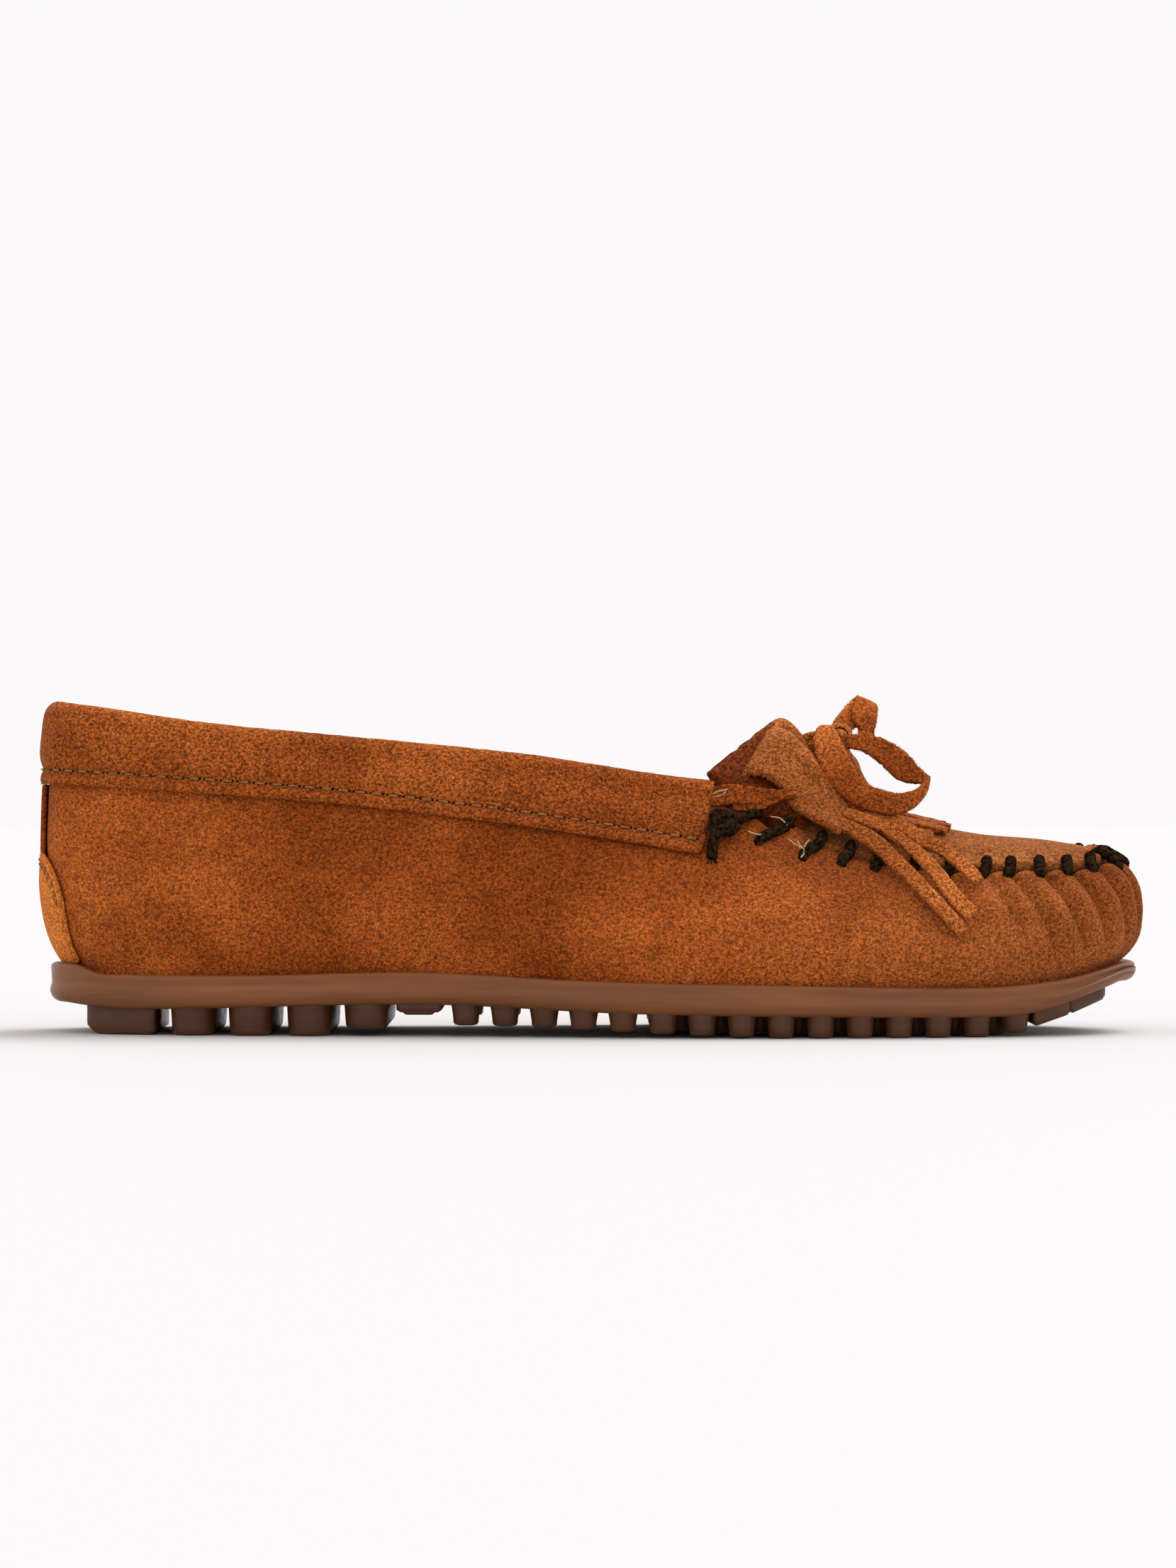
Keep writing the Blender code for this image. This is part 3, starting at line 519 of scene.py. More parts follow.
def rubber(name, dark, mid, light):
    """Moulded natural rubber: cloudy brown, a soft gloss, mould streaks along it, and a few pale scuffs."""
    m, nt, b = principled(name, 0.40)
    where = coords(nt)
    cloud = noise_at(nt, where, 45, 3.0, 0.6, (0.4, 1.0, 2.0))
    streak = noise_at(nt, where, 220, 3.0, 0.6, (0.12, 0.6, 3.0))
    fine = noise_at(nt, where, 900, 3.0, 0.65)
    worn = noise_at(nt, where, 260, 5.0, 0.75, (0.5, 1.0, 1.6))
    base = ramp(nt, cloud, ((0.32, dark), (0.5, mid), (0.68, light)))
    base = tint(nt, base, streak, ((0.35, (0.86, 0.84, 0.82)), (0.65, (1.08, 1.09, 1.1))))
    scuff = ramp(nt, worn, ((0.71, (0, 0, 0)), (0.76, (0.35, 0.35, 0.35))))
    nt.links.new(mix(nt, "MIX", base, (0.32, 0.21, 0.15, 1), scuff), b.inputs["Base Color"])
    nt.links.new(map_range(nt, streak, 0.3, 0.7, 0.33, 0.50), b.inputs["Roughness"])
    b.inputs["Specular IOR Level"].default_value = 0.35
    bump(nt, b, ((fine, 0.15, 0.1), (streak, 0.2, 0.12)))
    return m


RUBBER = rubber("sole_rubber", (0.1600, 0.0518, 0.0123), (0.1978, 0.0639, 0.0157), (0.2408, 0.0801, 0.0208))
TREAD = rubber("tread_rubber", (0.0640, 0.0217, 0.0062), (0.0840, 0.0291, 0.0086), (0.1040, 0.0369, 0.0112))


def grained(name, rough, grain, dark, light, strength, mm, edge=0.2, gloss=0.5, relief=None):
    """Matt material with a fine grain in its colour and relief; a noise is (scale, detail, roughness)."""
    m, nt, b = principled(name, rough)
    where = coords(nt)
    colour = noise_at(nt, where, *grain)
    height = noise_at(nt, where, *relief) if relief else colour
    nt.links.new(ramp(nt, colour, ((0.5 - edge, dark), (0.5 + edge, light))), b.inputs["Base Color"])
    b.inputs["Specular IOR Level"].default_value = gloss
    bump(nt, b, ((height, strength, mm),))
    return m


LINING = grained("lining", 0.8, (300, 3.0), (0.42, 0.25, 0.1), (0.55, 0.35, 0.16), 0.3, 0.15,
                 relief=(900, 3.0))
# the cord has no gloss; its lighter brown flecks are partly its fibres' own tone and partly painted highlight
CORD = grained("waxed_cord", 0.62, (1000, 3.0, 0.6), (0.004, 0.0024, 0.0014), (0.034, 0.0185, 0.0095),
               0.9, 0.3, edge=0.12, gloss=0.0)
THREAD = grained("tan_thread", 0.75, (2600, 2.0), (0.15, 0.062, 0.018), (0.36, 0.17, 0.065),
                 0.6, 0.1, edge=0.15, gloss=0.1)
PALE_THREAD = grained("pale_thread", 0.75, (2600, 2.0), (0.33, 0.20, 0.105), (0.56, 0.40, 0.25),
                      0.6, 0.1, edge=0.15, gloss=0.1)

# ---- makers


def placed(name, data):
    """Object of this data, in the scene."""
    o = bpy.data.objects.new(name, data)
    bpy.context.scene.collection.objects.link(o)
    return o


def piece(name, build, material, body="shoe", stands_for=(), smooth=True):
    """One mesh piece from a Build in mm, riding on a CAD body."""
    mesh = bpy.data.meshes.new(name)
    mesh.from_pydata([tuple(c * MM for c in v) for v in build.v], [], build.f)
    bm = bmesh.new()
    bm.from_mesh(mesh)
    bmesh.ops.remove_doubles(bm, verts=bm.verts, dist=2e-6)
    bmesh.ops.recalc_face_normals(bm, faces=bm.faces)
    bm.to_mesh(mesh)
    bm.free()
    if smooth:
        mesh.shade_smooth()
    mesh.materials.append(material)
    o = placed(name, mesh)
    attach(o, body)
    if stands_for:
        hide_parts(*stands_for)
    return o


class Build:
    """Collects verts and faces of several grids into one mesh."""

    def __init__(self):
        self.v, self.f = [], []

    def grid(self, rows, wrap_rows=False, wrap_cols=False, flip=False):
        """Faces between rows of points; returns the index of the first point."""
        base, n, m = len(self.v), len(rows[0]), len(rows)
        for r in rows:
            self.v.extend(r)
        for i in range(m if wrap_rows else m - 1):
            for k in range(n if wrap_cols else n - 1):
                a, b = base + i * n, base + ((i + 1) % m) * n
                j = (k + 1) % n
                q = (a + k, a + j, b + j, b + k)
                self.f.append(q[::-1] if flip else q)
        return base

    def capped(self, rows):
        """Rows round a closed section, with a face over each end."""
        base = self.grid(rows, wrap_cols=True)
        m = len(rows[0])
        self.f.append(tuple(base + k for k in range(m))[::-1])
        self.f.append(tuple(base + (len(rows) - 1) * m + k for k in range(m)))

    def tube(self, path, radius, sides, ribs=0.0):
        """Round cord; radius may be a function of the share along. ribs adds a braided relief."""
        path = [Vector(p) for p in path]
        rows, u = [], None
        length = 0.0
        for i, p in enumerate(path):
            t = tangent(path, i)
            if i:
                length += (p - path[i - 1]).length
            if u is None:
                u = Vector((0, 0, 1)) if abs(t.z) < 0.9 else Vector((1, 0, 0))
            u = (u - t * u.dot(t)).normalized()
            v = t.cross(u)
            r = radius(i / (len(path) - 1)) if callable(radius) else radius
            turn = length * 3.0 / max(r, 0.2)
            row = []
            for k in range(sides):
                a = 2 * math.pi * k / sides
                w = 1.0 + ribs * max(math.sin(3 * a + turn), math.sin(3 * a - turn))
                row.append(p + (u * math.cos(a) + v * math.sin(a)) * r * w)
            rows.append(row)
        base = self.grid(rows, wrap_cols=True)
        dome = 0.35 * (0.3 if callable(radius) else radius)
        for start, out in ((base, path[0] - path[1]), (base + (len(rows) - 1) * sides, path[-1] - path[-2])):
            centre = sum((Vector(self.v[start + k]) for k in range(sides)), Vector()) / sides
            self.v.append(centre + out.normalized() * dome)
            c = len(self.v) - 1
            for k in range(sides):
                tri = (start + k, start + (k + 1) % sides, c)
                self.f.append(tri[::-1] if start == base else tri)


def tangent(path, i):
    """Direction of a path at its point i."""
    t = path[min(i + 1, len(path) - 1)] - path[max(i - 1, 0)]
    return t.normalized() if t.length > 1e-9 else Vector((0, 0, 1))


def hermite(points, i, t):
    """Smooth curve through points, at share t of its span i."""
    a, b = Vector(points[i]), Vector(points[i + 1])
    ma, mb = (b - Vector(points[max(i - 1, 0)])) / 2, (Vector(points[min(i + 2, len(points) - 1)]) - a) / 2
    return (a * (2 * t ** 3 - 3 * t ** 2 + 1) + ma * (t ** 3 - 2 * t ** 2 + t)
            + b * (3 * t ** 2 - 2 * t ** 3) + mb * (t ** 3 - t ** 2))


def smooth_path(points, steps):
    spans = range(len(points) - 1)
    return [hermite(points, i, k / steps) for i in spans for k in range(steps)] + [Vector(points[-1])]


def rough_at(p, scale, seed=0.0):
    """Smooth noise at a point, for uneven surfaces and edges."""
    return noise.noise(Vector((p[0] * scale + seed, p[1] * scale - seed, p[2] * scale + 2 * seed)))


def fuzz(build, line, reach, gap, seed):
    """Loose fibres that stand out of a cut edge, along line, a list of (point, outward direction)."""
    rng = random.Random(seed)
    for (a, da), (b, db) in zip(line, line[1:]):
        for _ in range(int((Vector(b) - Vector(a)).length / gap + rng.random())):
            t = rng.random()
            d = Vector(da).normalized().lerp(Vector(db).normalized(), t)
            d = (d + 0.75 * Vector((rng.uniform(-1, 1), rng.uniform(-1, 1), rng.uniform(-1, 1)))).normalized()
            p = Vector(a).lerp(Vector(b), t) - d * 0.25
            u = d.orthogonal().normalized() * rng.uniform(0.05, 0.09)
            v = d.cross(u)
            n = len(build.v)
            tip = p + d * (0.25 + reach * rng.uniform(0.3, 1.0))
            build.v += [p + u, p - u * 0.5 + v * 0.87, p - u * 0.5 - v * 0.87, tip]
            build.f += [(n, n + 1, n + 3), (n + 1, n + 2, n + 3), (n + 2, n, n + 3)]


# section of a cut thong from edge to edge: (share of its half width, share of its half thickness)
SQUARE = ((-1.0, 0.0), (-0.985, 0.62), (-0.93, 0.95), (-0.7, 1.0), (-0.25, 1.0), (0.25, 1.0), (0.7, 1.0),
          (0.93, 0.95), (0.985, 0.62), (1.0, 0.0))


def strap(build, path, half, thick, seed, fray=0.3):
    """Cut thong along `path` with half-width vectors `half`: square edges, a little rough along them."""
    rows = []
    for i, (p, w) in enumerate(zip(path, half)):
        t = tangent(path, i)
        w = w - t * w.dot(t)
        up = t.cross(w).normalized() * thick / 2
        top, low = [], []
        for share, rise in SQUARE:
            c = p + w * share
            if abs(share) > 0.9:
                c += w.normalized() * math.copysign(fray, share) * rough_at(c, 0.9, seed)
            wave = 1 + 0.25 * rough_at(c, 0.5, seed + 3)
            top.append(c + up * rise * wave)
            low.append(c - up * rise * wave)
        rows.append(top + low[-2:0:-1])
    build.capped(rows)


def ribbon(build, rails, thick, steps=6, bulge=0.15, seed=0.0, fray=0.35):
    """Band between two rails [(a, b)], cut square at its rough edges."""
    a, b = (smooth_path([r[k] for r in rails], steps) for k in (0, 1))
    middle = [p + q for p, q in zip(a, b)]
    rows = []
    up = None
    for i, (p, q) in enumerate(zip(a, b)):
        w = (q - p) / 2
        new = tangent(middle, i).cross(w).normalized()
        up = new if up is None else (up + new).normalized()
        top, low = [], []
        for share, rise in SQUARE:
            c = (p + q) / 2 + w * share
            if abs(share) > 0.9:
                rough = rough_at(c, 0.8, seed) + 0.6 * rough_at(c, 2.2, seed)
                c += w.normalized() * math.copysign(fray, share) * rough
            c += up * (bulge * (1 - share * share) + 0.2 * rough_at(c, 0.35, seed + 5))
            top.append(c + up * rise * thick / 2)
            low.append(c - up * rise * thick / 2)
        rows.append(top + low[-2:0:-1])
    build.capped(rows)


def ribbon_fibres(build, rails, seed):
    """Loose fibres along both edges of a ribbon."""
    a, b = (smooth_path([r[k] for r in rails], 5) for k in (0, 1))
    for near, far in ((a, b), (b, a)):
        fuzz(build, [(p, p - q) for p, q in zip(near, far)], 0.7, 0.16, seed)


def stations(count):
    """(side, q) round the whole shoe."""
    out = [(-1, i / count) for i in range(count + 1)]
    return out + [(1, i / count) for i in range(count - 1, 0, -1)]


def rear_stations(x_end, count):
    """(side, q) round the heel between the two sides at x_end."""
    out = [(-1, q_at(-1, x_end) * (1 - i / count)) for i in range(count)]
    return out + [(1, q_at(1, x_end) * i / count) for i in range(count + 1)]


def normals_of(rows):
    """Grid normals by differences of neighbours."""
    m, n = len(rows), len(rows[0])
    out = []
    for i in range(m):
        a, b = rows[max(i - 1, 0)], rows[min(i + 1, m - 1)]
        line = []
        for k in range(n):
            u = b[k] - a[k]
            v = rows[i][min(k + 1, n - 1)] - rows[i][max(k - 1, 0)]
            c = v.cross(u)
            line.append(c.normalized() if c.length > 1e-9 else Vector((0, 0, 1)))
        out.append(line)
    return out


RIM = ((0.0, 0.0), (0.1, 0.44), (0.35, 0.76), (0.7, 0.95))


def refine(line, r):
    """A line of points with four extra rows near each end, where a sheet's edge rounds off."""
    def near(a, b):
        d = max((b - a).length, 1e-6)
        return [a + (b - a) * min(out * r / d, 0.24 * (i + 1)) for i, (out, _) in enumerate(RIM)]

    return near(line[0], line[1]) + line[1:-1] + near(line[-1], line[-2])[::-1]


def shell(build, rows, thick, fray, seed=0.0):
    """Closed leather sheet round a grid of mid-surface points, with rounded, slightly rough edges."""
    r = thick / 2
    rows = [refine(row, r) for row in rows]
    cols = [refine([row[k] for row in rows], r) for k in range(len(rows[0]))]
    rows = [[col[i] for col in cols] for i in range(len(cols[0]))]
    m, n = len(rows), len(rows[0])
    rim = [lift for _, lift in RIM]
    across_rows = rim + [1.0] * (n - 8) + rim[::-1]
    along_rows = rim + [1.0] * (m - 8) + rim[::-1]
    for i in range(m):
        for k in range(n):
            a = rows[i][k]
            c = rows[min(max(i, 4), m - 5)][min(max(k, 4), n - 5)]
            if (a - c).length > 1e-6:
                rows[i][k] = a + (a - c).normalized() * fray * rough_at(c, 0.7, seed)
    normals = normals_of(rows)
    for half in (r, -r):
        build.grid([[rows[i][k] + normals[i][k] * half * across_rows[k] * along_rows[i] for k in range(n)]
                    for i in range(m)], flip=half < 0)


# a stitch from hole to hole: (share of its length, rise)
STITCH_ARCH = ((-0.04, -0.5), (0.04, 0.1), (0.25, 0.85), (0.5, 1.0), (0.75, 0.85), (0.96, 0.1), (1.04, -0.5))


def thread_line(build, line, pitch, length, radius, start, holes=None):
    """Row of short stitches along [(point, outward)], each diving into its holes; with `holes`, a painted
    shade oval marks each hole.
    """
    run = run_along([p for p, _ in line])
    pts = np.array([[*p, *n] for p, n in line])

    def at(s):
        v = [np.interp(s, run, pts[:, c]) for c in range(6)]
        return Vector(v[:3]), Vector(v[3:]).normalized()

    s = start
    while s + length < run[-1]:
        path = []
        for t, lift in STITCH_ARCH:
            p, n = at(s + t * length)
            path.append(p + n * radius * lift * 1.1)
        build.tube(path, radius, 6)
        if holes is not None:
            for e in (-0.02, 1.02):
                painted_hole_shade(holes, *at(s + e * length))
        s += pitch


def painted_hole_shade(build, p, n):
    """Small dark oval of painted shade where a stitch enters the leather at p, which faces n."""
    u = n.cross(Vector((0, 0, 1))).normalized()
    v = n.cross(u)
    c = len(build.v)
    build.v.append(p + n * 0.12)
    for k in range(8):
        a = math.pi * k / 4
        build.v.append(p + n * 0.05 + u * math.cos(a) * 0.75 + v * math.sin(a) * 0.34)
    for k in range(8):
        build.f.append((c, c + 1 + k, c + 1 + (k + 1) % 8))


# ---- sole

def lip_top(share):
    """Height of the sole's top, raised by this share of the lip round the heel."""
    return lambda x: sole_top(x) + 2.2 * ease(-114, -122, x) * share


def ledge(x):
    return sole_edge(x) + 0.62 * (sole_top(x) - sole_edge(x))


def fill_across(build, base, count, width, columns):
    """Closes rings of 2 * count rows in (column, flip): points of one side are joined to the other side's."""
    n = 2 * count
    for i in range(count):
        for column, flip in columns:
            rows = (i, i + 1, n - i - 1, (n - i) % n)
            corners = tuple(dict.fromkeys(base + r * width + column for r in rows))
            if len(corners) > 2:
                build.f.append(corners[::-1] if flip else corners)


# the sole's section: (distance in from the edge, height of a line along the shoe, distance above it)
PROFILE = ((7.0, sole_edge, 0.0), (3.4, sole_edge, 0.0), (2.0, sole_edge, 0.15), (1.0, sole_edge, 0.6),
           (0.35, sole_edge, 1.4), (0.0, sole_edge, 2.4), (-0.05, sole_edge, 3.2), (0.06, ledge, -0.9),
           (0.2, ledge, -0.35), (0.3, ledge, 0.0), (0.36, ledge, 0.35), (0.36, ledge, 0.8),
           (0.20, lip_top(1), -1.1), (0.30, lip_top(1), -0.45), (0.75, lip_top(1), -0.1),
           (1.3, lip_top(1), 0.0), (2.2, lip_top(0.85), -0.05), (2.9, lip_top(0.3), -0.25),
           (4.0, sole_top, -0.3), (9.0, sole_top, -0.3))
SOLE_STATIONS = 150
sole = Build()
rows = []
for side, q in stations(SOLE_STATIONS):
    x, y, nx, ny = plan(side, q)
    rows.append([Vector((x + nx * d, y + ny * d, h(x) + dz)) for d, h, dz in PROFILE])
base = sole.grid(rows, wrap_rows=True, flip=True)
fill_across(sole, base, SOLE_STATIONS, len(PROFILE), ((0, True), (len(PROFILE) - 1, False)))
piece("sole_body", sole, RUBBER, stands_for=("outsole",))


def peg(build, x, y, radius, low, sides=16):
    """Round peg of the tread with a domed foot."""
    high = sole_edge(x) + 1.0
    rows = []
    for scale, z in ((1.22, high), (1.1, high - 1.4), (1.0, low + 1.8), (0.965, low + 0.66),
                     (0.86, low + 0.24), (0.62, low + 0.048), (0.3, low), (0.02, low)):
        row = []
        for k in range(sides):
            a = 2 * math.pi * k / sides
            row.append(Vector((x + radius * scale * math.cos(a), y + radius * scale * math.sin(a), z)))
        rows.append(row)
    build.grid(rows, wrap_cols=True)


def side_y(side, x):
    return plan(side, q_at(side, x))[1]


def bar(build, x0, x1, low0, low1, reach, rear_round=0.0):
    """Cross bar of the tread with eased edges, its foot from height low0 to low1 and its ends `reach` in."""
    rows = []
    steps = 12
    for i in range(steps + 1):
        t = i / steps
        x = x0 + (x1 - x0) * t
        soft = max(0.0, 0.7 - min(t, 1 - t) * (x1 - x0)) / 0.7
        low = low0 + (low1 - low0) * t + soft * 0.6 + rear_round * max(0.0, 1 - (x - x0) / 4.0) ** 2 * 3
        a, b = -abs(side_y(-1, x)) + reach, side_y(1, x) - reach
        hi = sole_edge(x) + 2.5
        shrink = soft * 0.4
        section = ((a + 0.2, hi), (a + shrink, (hi + low) / 2), (a + shrink, low + 0.9),
                   (a + 0.35 + shrink, low + 0.3), (a + 1.2, low), ((a + b) / 2, low), (b - 1.2, low),
                   (b - 0.35 - shrink, low + 0.3), (b - shrink, low + 0.9), (b - 0.2, hi))
        rows.append([Vector((x, y, z)) for y, z in section])
    base = build.grid(rows, flip=True)
    k = len(rows[0])
    build.f.append(tuple(base + i for i in range(k)))
    build.f.append(tuple(base + steps * k + i for i in range(k))[::-1])


tread = Build()
bar(tread, -118.0, -101.7, 0.0, 0.0, 3.4, rear_round=0.5)
bar(tread, -45.0, -34.4, 5.6, 5.6, 2.4)
bar(tread, -43.6, -36.0, 5.0, 5.0, 2.9)
bar(tread, 103.0, 112.0, 2.1, 5.0, 3.4)
bar(tread, 111.8, 120.6, 4.9, 8.4, 3.4)


def rib(build, x, half, low, sides=36):
    """Cross rib of the heel with round ends and an eased foot."""
    high = sole_edge(x) + 1.2
    near, far = side_y(-1, x) + 2.4 + half, side_y(1, x) - 2.4 - half
    rows = []
    for grow, z in ((0.5, high), (0.3, high - 1.3), (0.0, low + 1.5), (-0.1, low + 0.8), (-0.35, low + 0.3),
                    (-0.9, low), (-2.5, low), (-4.6, low)):
        row = []
        for k in range(sides):
            a = 2 * math.pi * (k + 0.5) / sides
            y = far if math.sin(a) > 0 else near
            row.append(Vector((x + (half + grow) * math.cos(a), y + (half + grow) * math.sin(a), z)))
        rows.append(row)
    base = build.grid(rows, wrap_cols=True)
    build.f.append(tuple(base + (len(rows) - 1) * sides + k for k in range(sides)))


for x in (-92.7, -79.1, -65.4, -52.0):
    rib(tread, x, 4.95, 0.0 if x < -60 else 1.7)


def peg_low(x):
    return 2.6 * ease(50, -30, x) + 0.9 * ease(92, 100, x)


for i in range(15):
    x = -28.8 + 9.1 * i
    forefoot = 8 < x < 98
    for side in (-1, 1):
        edge = side_y(side, x)
        peg(tread, x, edge - side * (4.6 + 1.6 * ease(80, 100, x)), 3.0, peg_low(x), sides=28)
        if forefoot:
            peg(tread, x + 4.5, edge - side * 15, 2.9, peg_low(x))
        if forefoot and i % 2:
            peg(tread, x, side * 8.0, 2.9, peg_low(x))
piece("sole_tread", tread, TREAD)

# ---- inside: sock liner and lining

# the liner's turned-up rim: (distance in, height over the sole's top)
LINER_RIM = ((-1.2, 10.2), (0.0, 8.9), (1.2, 8.3), (3.5, 8.0))
LINER_STATIONS = 90
liner = Build()
rows = []
for side, q in stations(LINER_STATIONS):
    x, y, nx, ny = plan(side, q)
    room = along(TUCK, x) + 4.6
    rows.append([Vector((x + nx * (room + d), y + ny * (room + d), sole_top(x) + h)) for d, h in LINER_RIM])
base = liner.grid(rows, wrap_rows=True, flip=True)
fill_across(liner, base, LINER_STATIONS, len(LINER_RIM), ((len(LINER_RIM) - 1, False),))
piece("sock_liner_top", liner, LINING, stands_for=("sock_liner",))

lining = Build()
outer, inner = [], []
for side, q in rear_stations(22, 60):
    x = plan(side, q)[0]
    low, high = sole_top(x) + 4, along(COLLAR_TOP, x) - 11
    levels = [low + (high - low) * k / 14 for k in range(15)]
    outer.append([skin(side, q, z, THICK + 0.5 + 1.2 * ease(0, 3, k)) for k, z in enumerate(levels)])
    inner.append([skin(side, q, z, THICK + 2.4) for z in levels])
lining.grid(outer)
lining.grid(inner, flip=True)
piece("lining_rear", lining, LINING, stands_for=("quarter_lining",))

# ---- wrap: quarters and gathered vamp in one

def wrap_top(side, x, run):
    """Height of the wrap's edge: under the plug's folded strip forward, in lobes between the stitches."""
    e = wrap_edge(x, side) - 2.3 * ease(50, 62, x)
    if x > 32:
        e += (1.9 - 1.3 * ease(48, 60, x)) * gather(run, 0.0) * ease(33, 38, x)
    return e


# the wrap's rolled rim: (depth, height over its edge, share of the gathers' relief)
WRAP_RIM = ((0.04, -0.75, 1.0), (0.25, -0.3, 1.0), (0.65, 0.0, 0.95), (1.2, 0.0, 0.6), (1.9, -0.25, 0.2),
            (2.4, -0.9, 0.0), (2.4, -3.0, 0.0))
WRAP_LEVELS = 26
rows = []
for side, q in stations(330):
    x, _, nx, ny = plan(side, q)
    fore = ease(THROAT, 38, x)
    run = run_of(side, q) if x > THROAT else 0.0
    top = wrap_top(side, x, run)
    low = sole_top(x) - 1.2
    row = []
    for k in range(WRAP_LEVELS + 1):
        z = low + (top - 1.1 - low) * (1 - (1 - k / WRAP_LEVELS) ** 1.35)
        p = skin(side, q, z)
        d = 0.28 * rough_at(p, 0.045, 3) + 0.14 * rough_at(p, 0.12, 8) + gather(run, top - z) * fore
        row.append(p - Vector((nx, ny, 0)) * d * (1 - ease(6, 0, z - low - 1.2)))
    d = gather(run, 0.6) * fore
    row += [skin(side, q, top + dz, depth - d * share) for depth, dz, share in WRAP_RIM]
    row += [skin(side, q, top - 4 + (sole_top(x) + 7 - top) * k / 7, THICK + 0.1) for k in range(8)]
    rows.append(row)
wrap = Build()
wrap.grid(rows, wrap_rows=True)
piece("upper_wrap", wrap, SUEDE, stands_for=("upper",))

# ---- plug, with its edge folded over the seam

# section of the strip folded over the seam: (depth, height over the wrap's edge)
FOLDED_EDGE = ((2.0, -3.0), (0.9, -2.9), (0.45, -2.5), (0.3, -1.8), (0.28, -0.9), (0.45, -0.25), (0.9, 0.15),
               (1.6, 0.25))
PLUG_START, PLUG_TIP = 46.5, 103
rows = []
for side, q in toe_stations(PLUG_START, 260):
    e = wrap_edge(plan(side, q)[0], side)
    up = gather(run_of(side, q), 0.0)
    row = [skin(side, q, e, depth - 0.45 * up) + Vector((0, 0, dz + 0.35 * up)) for depth, dz in FOLDED_EDGE]
    a = skin(side, q, e, 2.7)
    spine = min(a.x, PLUG_TIP + 0.12 * (a.x - PLUG_TIP))
    for k in range(27):
        t = (k / 26) ** 1.25
        x, y = a.x + (spine - a.x) * t, a.y * (1 - t)
        far = math.hypot(x - a.x, y - a.y)
        z = plug_top(x, y) if x < PLUG_XS[-1] else wrap_edge(x, side) + 0.25
        z += 0.4 * (1 - ease(0, 1.5, far)) + 0.55 * up * math.exp(-far / 3.2)
        z -= 0.5 * math.exp(-((far - 2.4) / 1.6) ** 2)
        z += 0.3 * rough_at((x, y, z), 0.06, 5) * ease(0, 8, far)
        row.append(Vector((x, y, z)))
    rows.append(row)
plug = Build()
plug.grid(rows)
piece("vamp_plug", plug, SUEDE_VAMP, stands_for=("plug",))


# ---- seam stitches, knots and tails

def stitch_path(run, lean):
    """One whipstitch: out of its hole in the wrap, up over both edges and down into the plug."""
    side, q = seam_at(run)
    x = plan(side, q)[0]
    e = wrap_edge(x, side)
    toe = ease(66, 26, abs(run - MIDDLE))
    low = 4.8 - 1.0 * ease(56, 64, x) * ease(92, 70, x) + 0.6 * ease(92, 104, x)
    dig = 0.56 * (1.35 + 2.4 * toe)
    sign = 1 if side < 0 else -1
    hold = 0.8 * ease(9, 19, abs(run - MIDDLE))
    home = skin(side, q, e, 0.0).x

    def at(dx, z, depth):
        """On the leather dx ahead of the stitch's place, with x held so that the stitch stands upright."""
        r = run + dx * sign * (1 - 0.9 * ease(14, 4, abs(run - MIDDLE)))
        for _ in range(3):
            s2, q2 = seam_at(r)
            r += max(-1.2, min(1.2, sign * (home + dx - skin(s2, q2, z, depth).x))) * hold
        s2, q2 = seam_at(r)
        return skin(s2, q2, z, depth)

    half = lean / 2
    path = [at(-half * 1.2, e - low - 1.3, dig + 1.9), at(-half * 1.1, e - low - 0.6, dig + 0.7),
            at(-half, e - low + 0.3, dig - 0.35), at(-half * 0.7, e - low * 0.66, dig - 0.9),
            at(0, e - low * 0.4, -0.75), at(half * 0.6, e - 1.0, -0.95), at(half * 0.9, e + 0.1, -0.5),
            at(half, e, 0.5) + Vector((0, 0, 0.75)), at(half, e, 1.5) + Vector((0, 0, 0.7)),
            at(half, e, 2.4) + Vector((0, 0, 0.1)), at(half, e, 2.9) + Vector((0, 0, -1.0))]
    return smooth_path(path, 4)


stitches = Build()
for run, lean in STITCHES:
    stitches.tube(stitch_path(run, lean), lambda t: 0.7 + 0.5 * ease(0.0, 0.25, t), 18, ribs=0.12)
piece("seam_stitches", stitches, CORD, stands_for=("seam_cord",))

for side, name in ((-1, "outer"), (1, "inner")):
    knot = Build()
    c = wall_point(side, 30.4, 47.8, 3.0)
    out = (wall_point(side, 30.4, 47.8, 4.0) - c).normalized()
    v = out.cross(Vector((1, 0, 0))).normalized()
    u = v.cross(out)
    ring = []
    for i in range(61):
        a = 2 * math.pi * i / 60
        spread = 2.0 + 0.7 * math.cos(3 * a)
        ring.append(c + u * math.cos(2 * a) * spread + v * math.sin(2 * a) * spread + out * math.sin(3 * a))
    knot.tube(ring, 1.35, 12, ribs=0.06)
    knot.tube([c - out * 1.6, c - out * 0.3, c + out * 0.9], 1.9, 12)
    tail = [c + Vector((-0.8, 0, -0.6)), wall_point(side, 28.6, 45.4, 3.1), wall_point(side, 28.0, 42.4, 3.3),
            wall_point(side, 27.9, 40.0, 3.0)]
    knot.tube(smooth_path(tail, 8), 1.25, 12, ribs=0.07)
    for i in range(7):
        a = 2 * math.pi * i / 7
        e = tail[-1] + Vector((math.cos(a), 0.6 * math.sin(a), 0)) * 0.7
        ply = [e + Vector((way * math.cos(a), 0, -drop)) for way, drop in ((0, 0), (0.25, 0.8), (0.5, 1.3))]
        knot.tube(ply, 0.2, 5)
    lead = [c + Vector((1.2, 0, 0.6)), wall_point(side, 34.0, 49.2, 1.6), wall_point(side, 37.0, 50.6, 1.3),
            wall_point(side, 39.4, 51.4, 0.2) + Vector((0, -side * 1.5, 0.4))]
    knot.tube(smooth_path(lead, 8), 1.2, 12, ribs=0.07)
    piece(name + "_knot", knot, CORD, stands_for=(name + "_cord_knot",))

# ---- collar with its lace channel

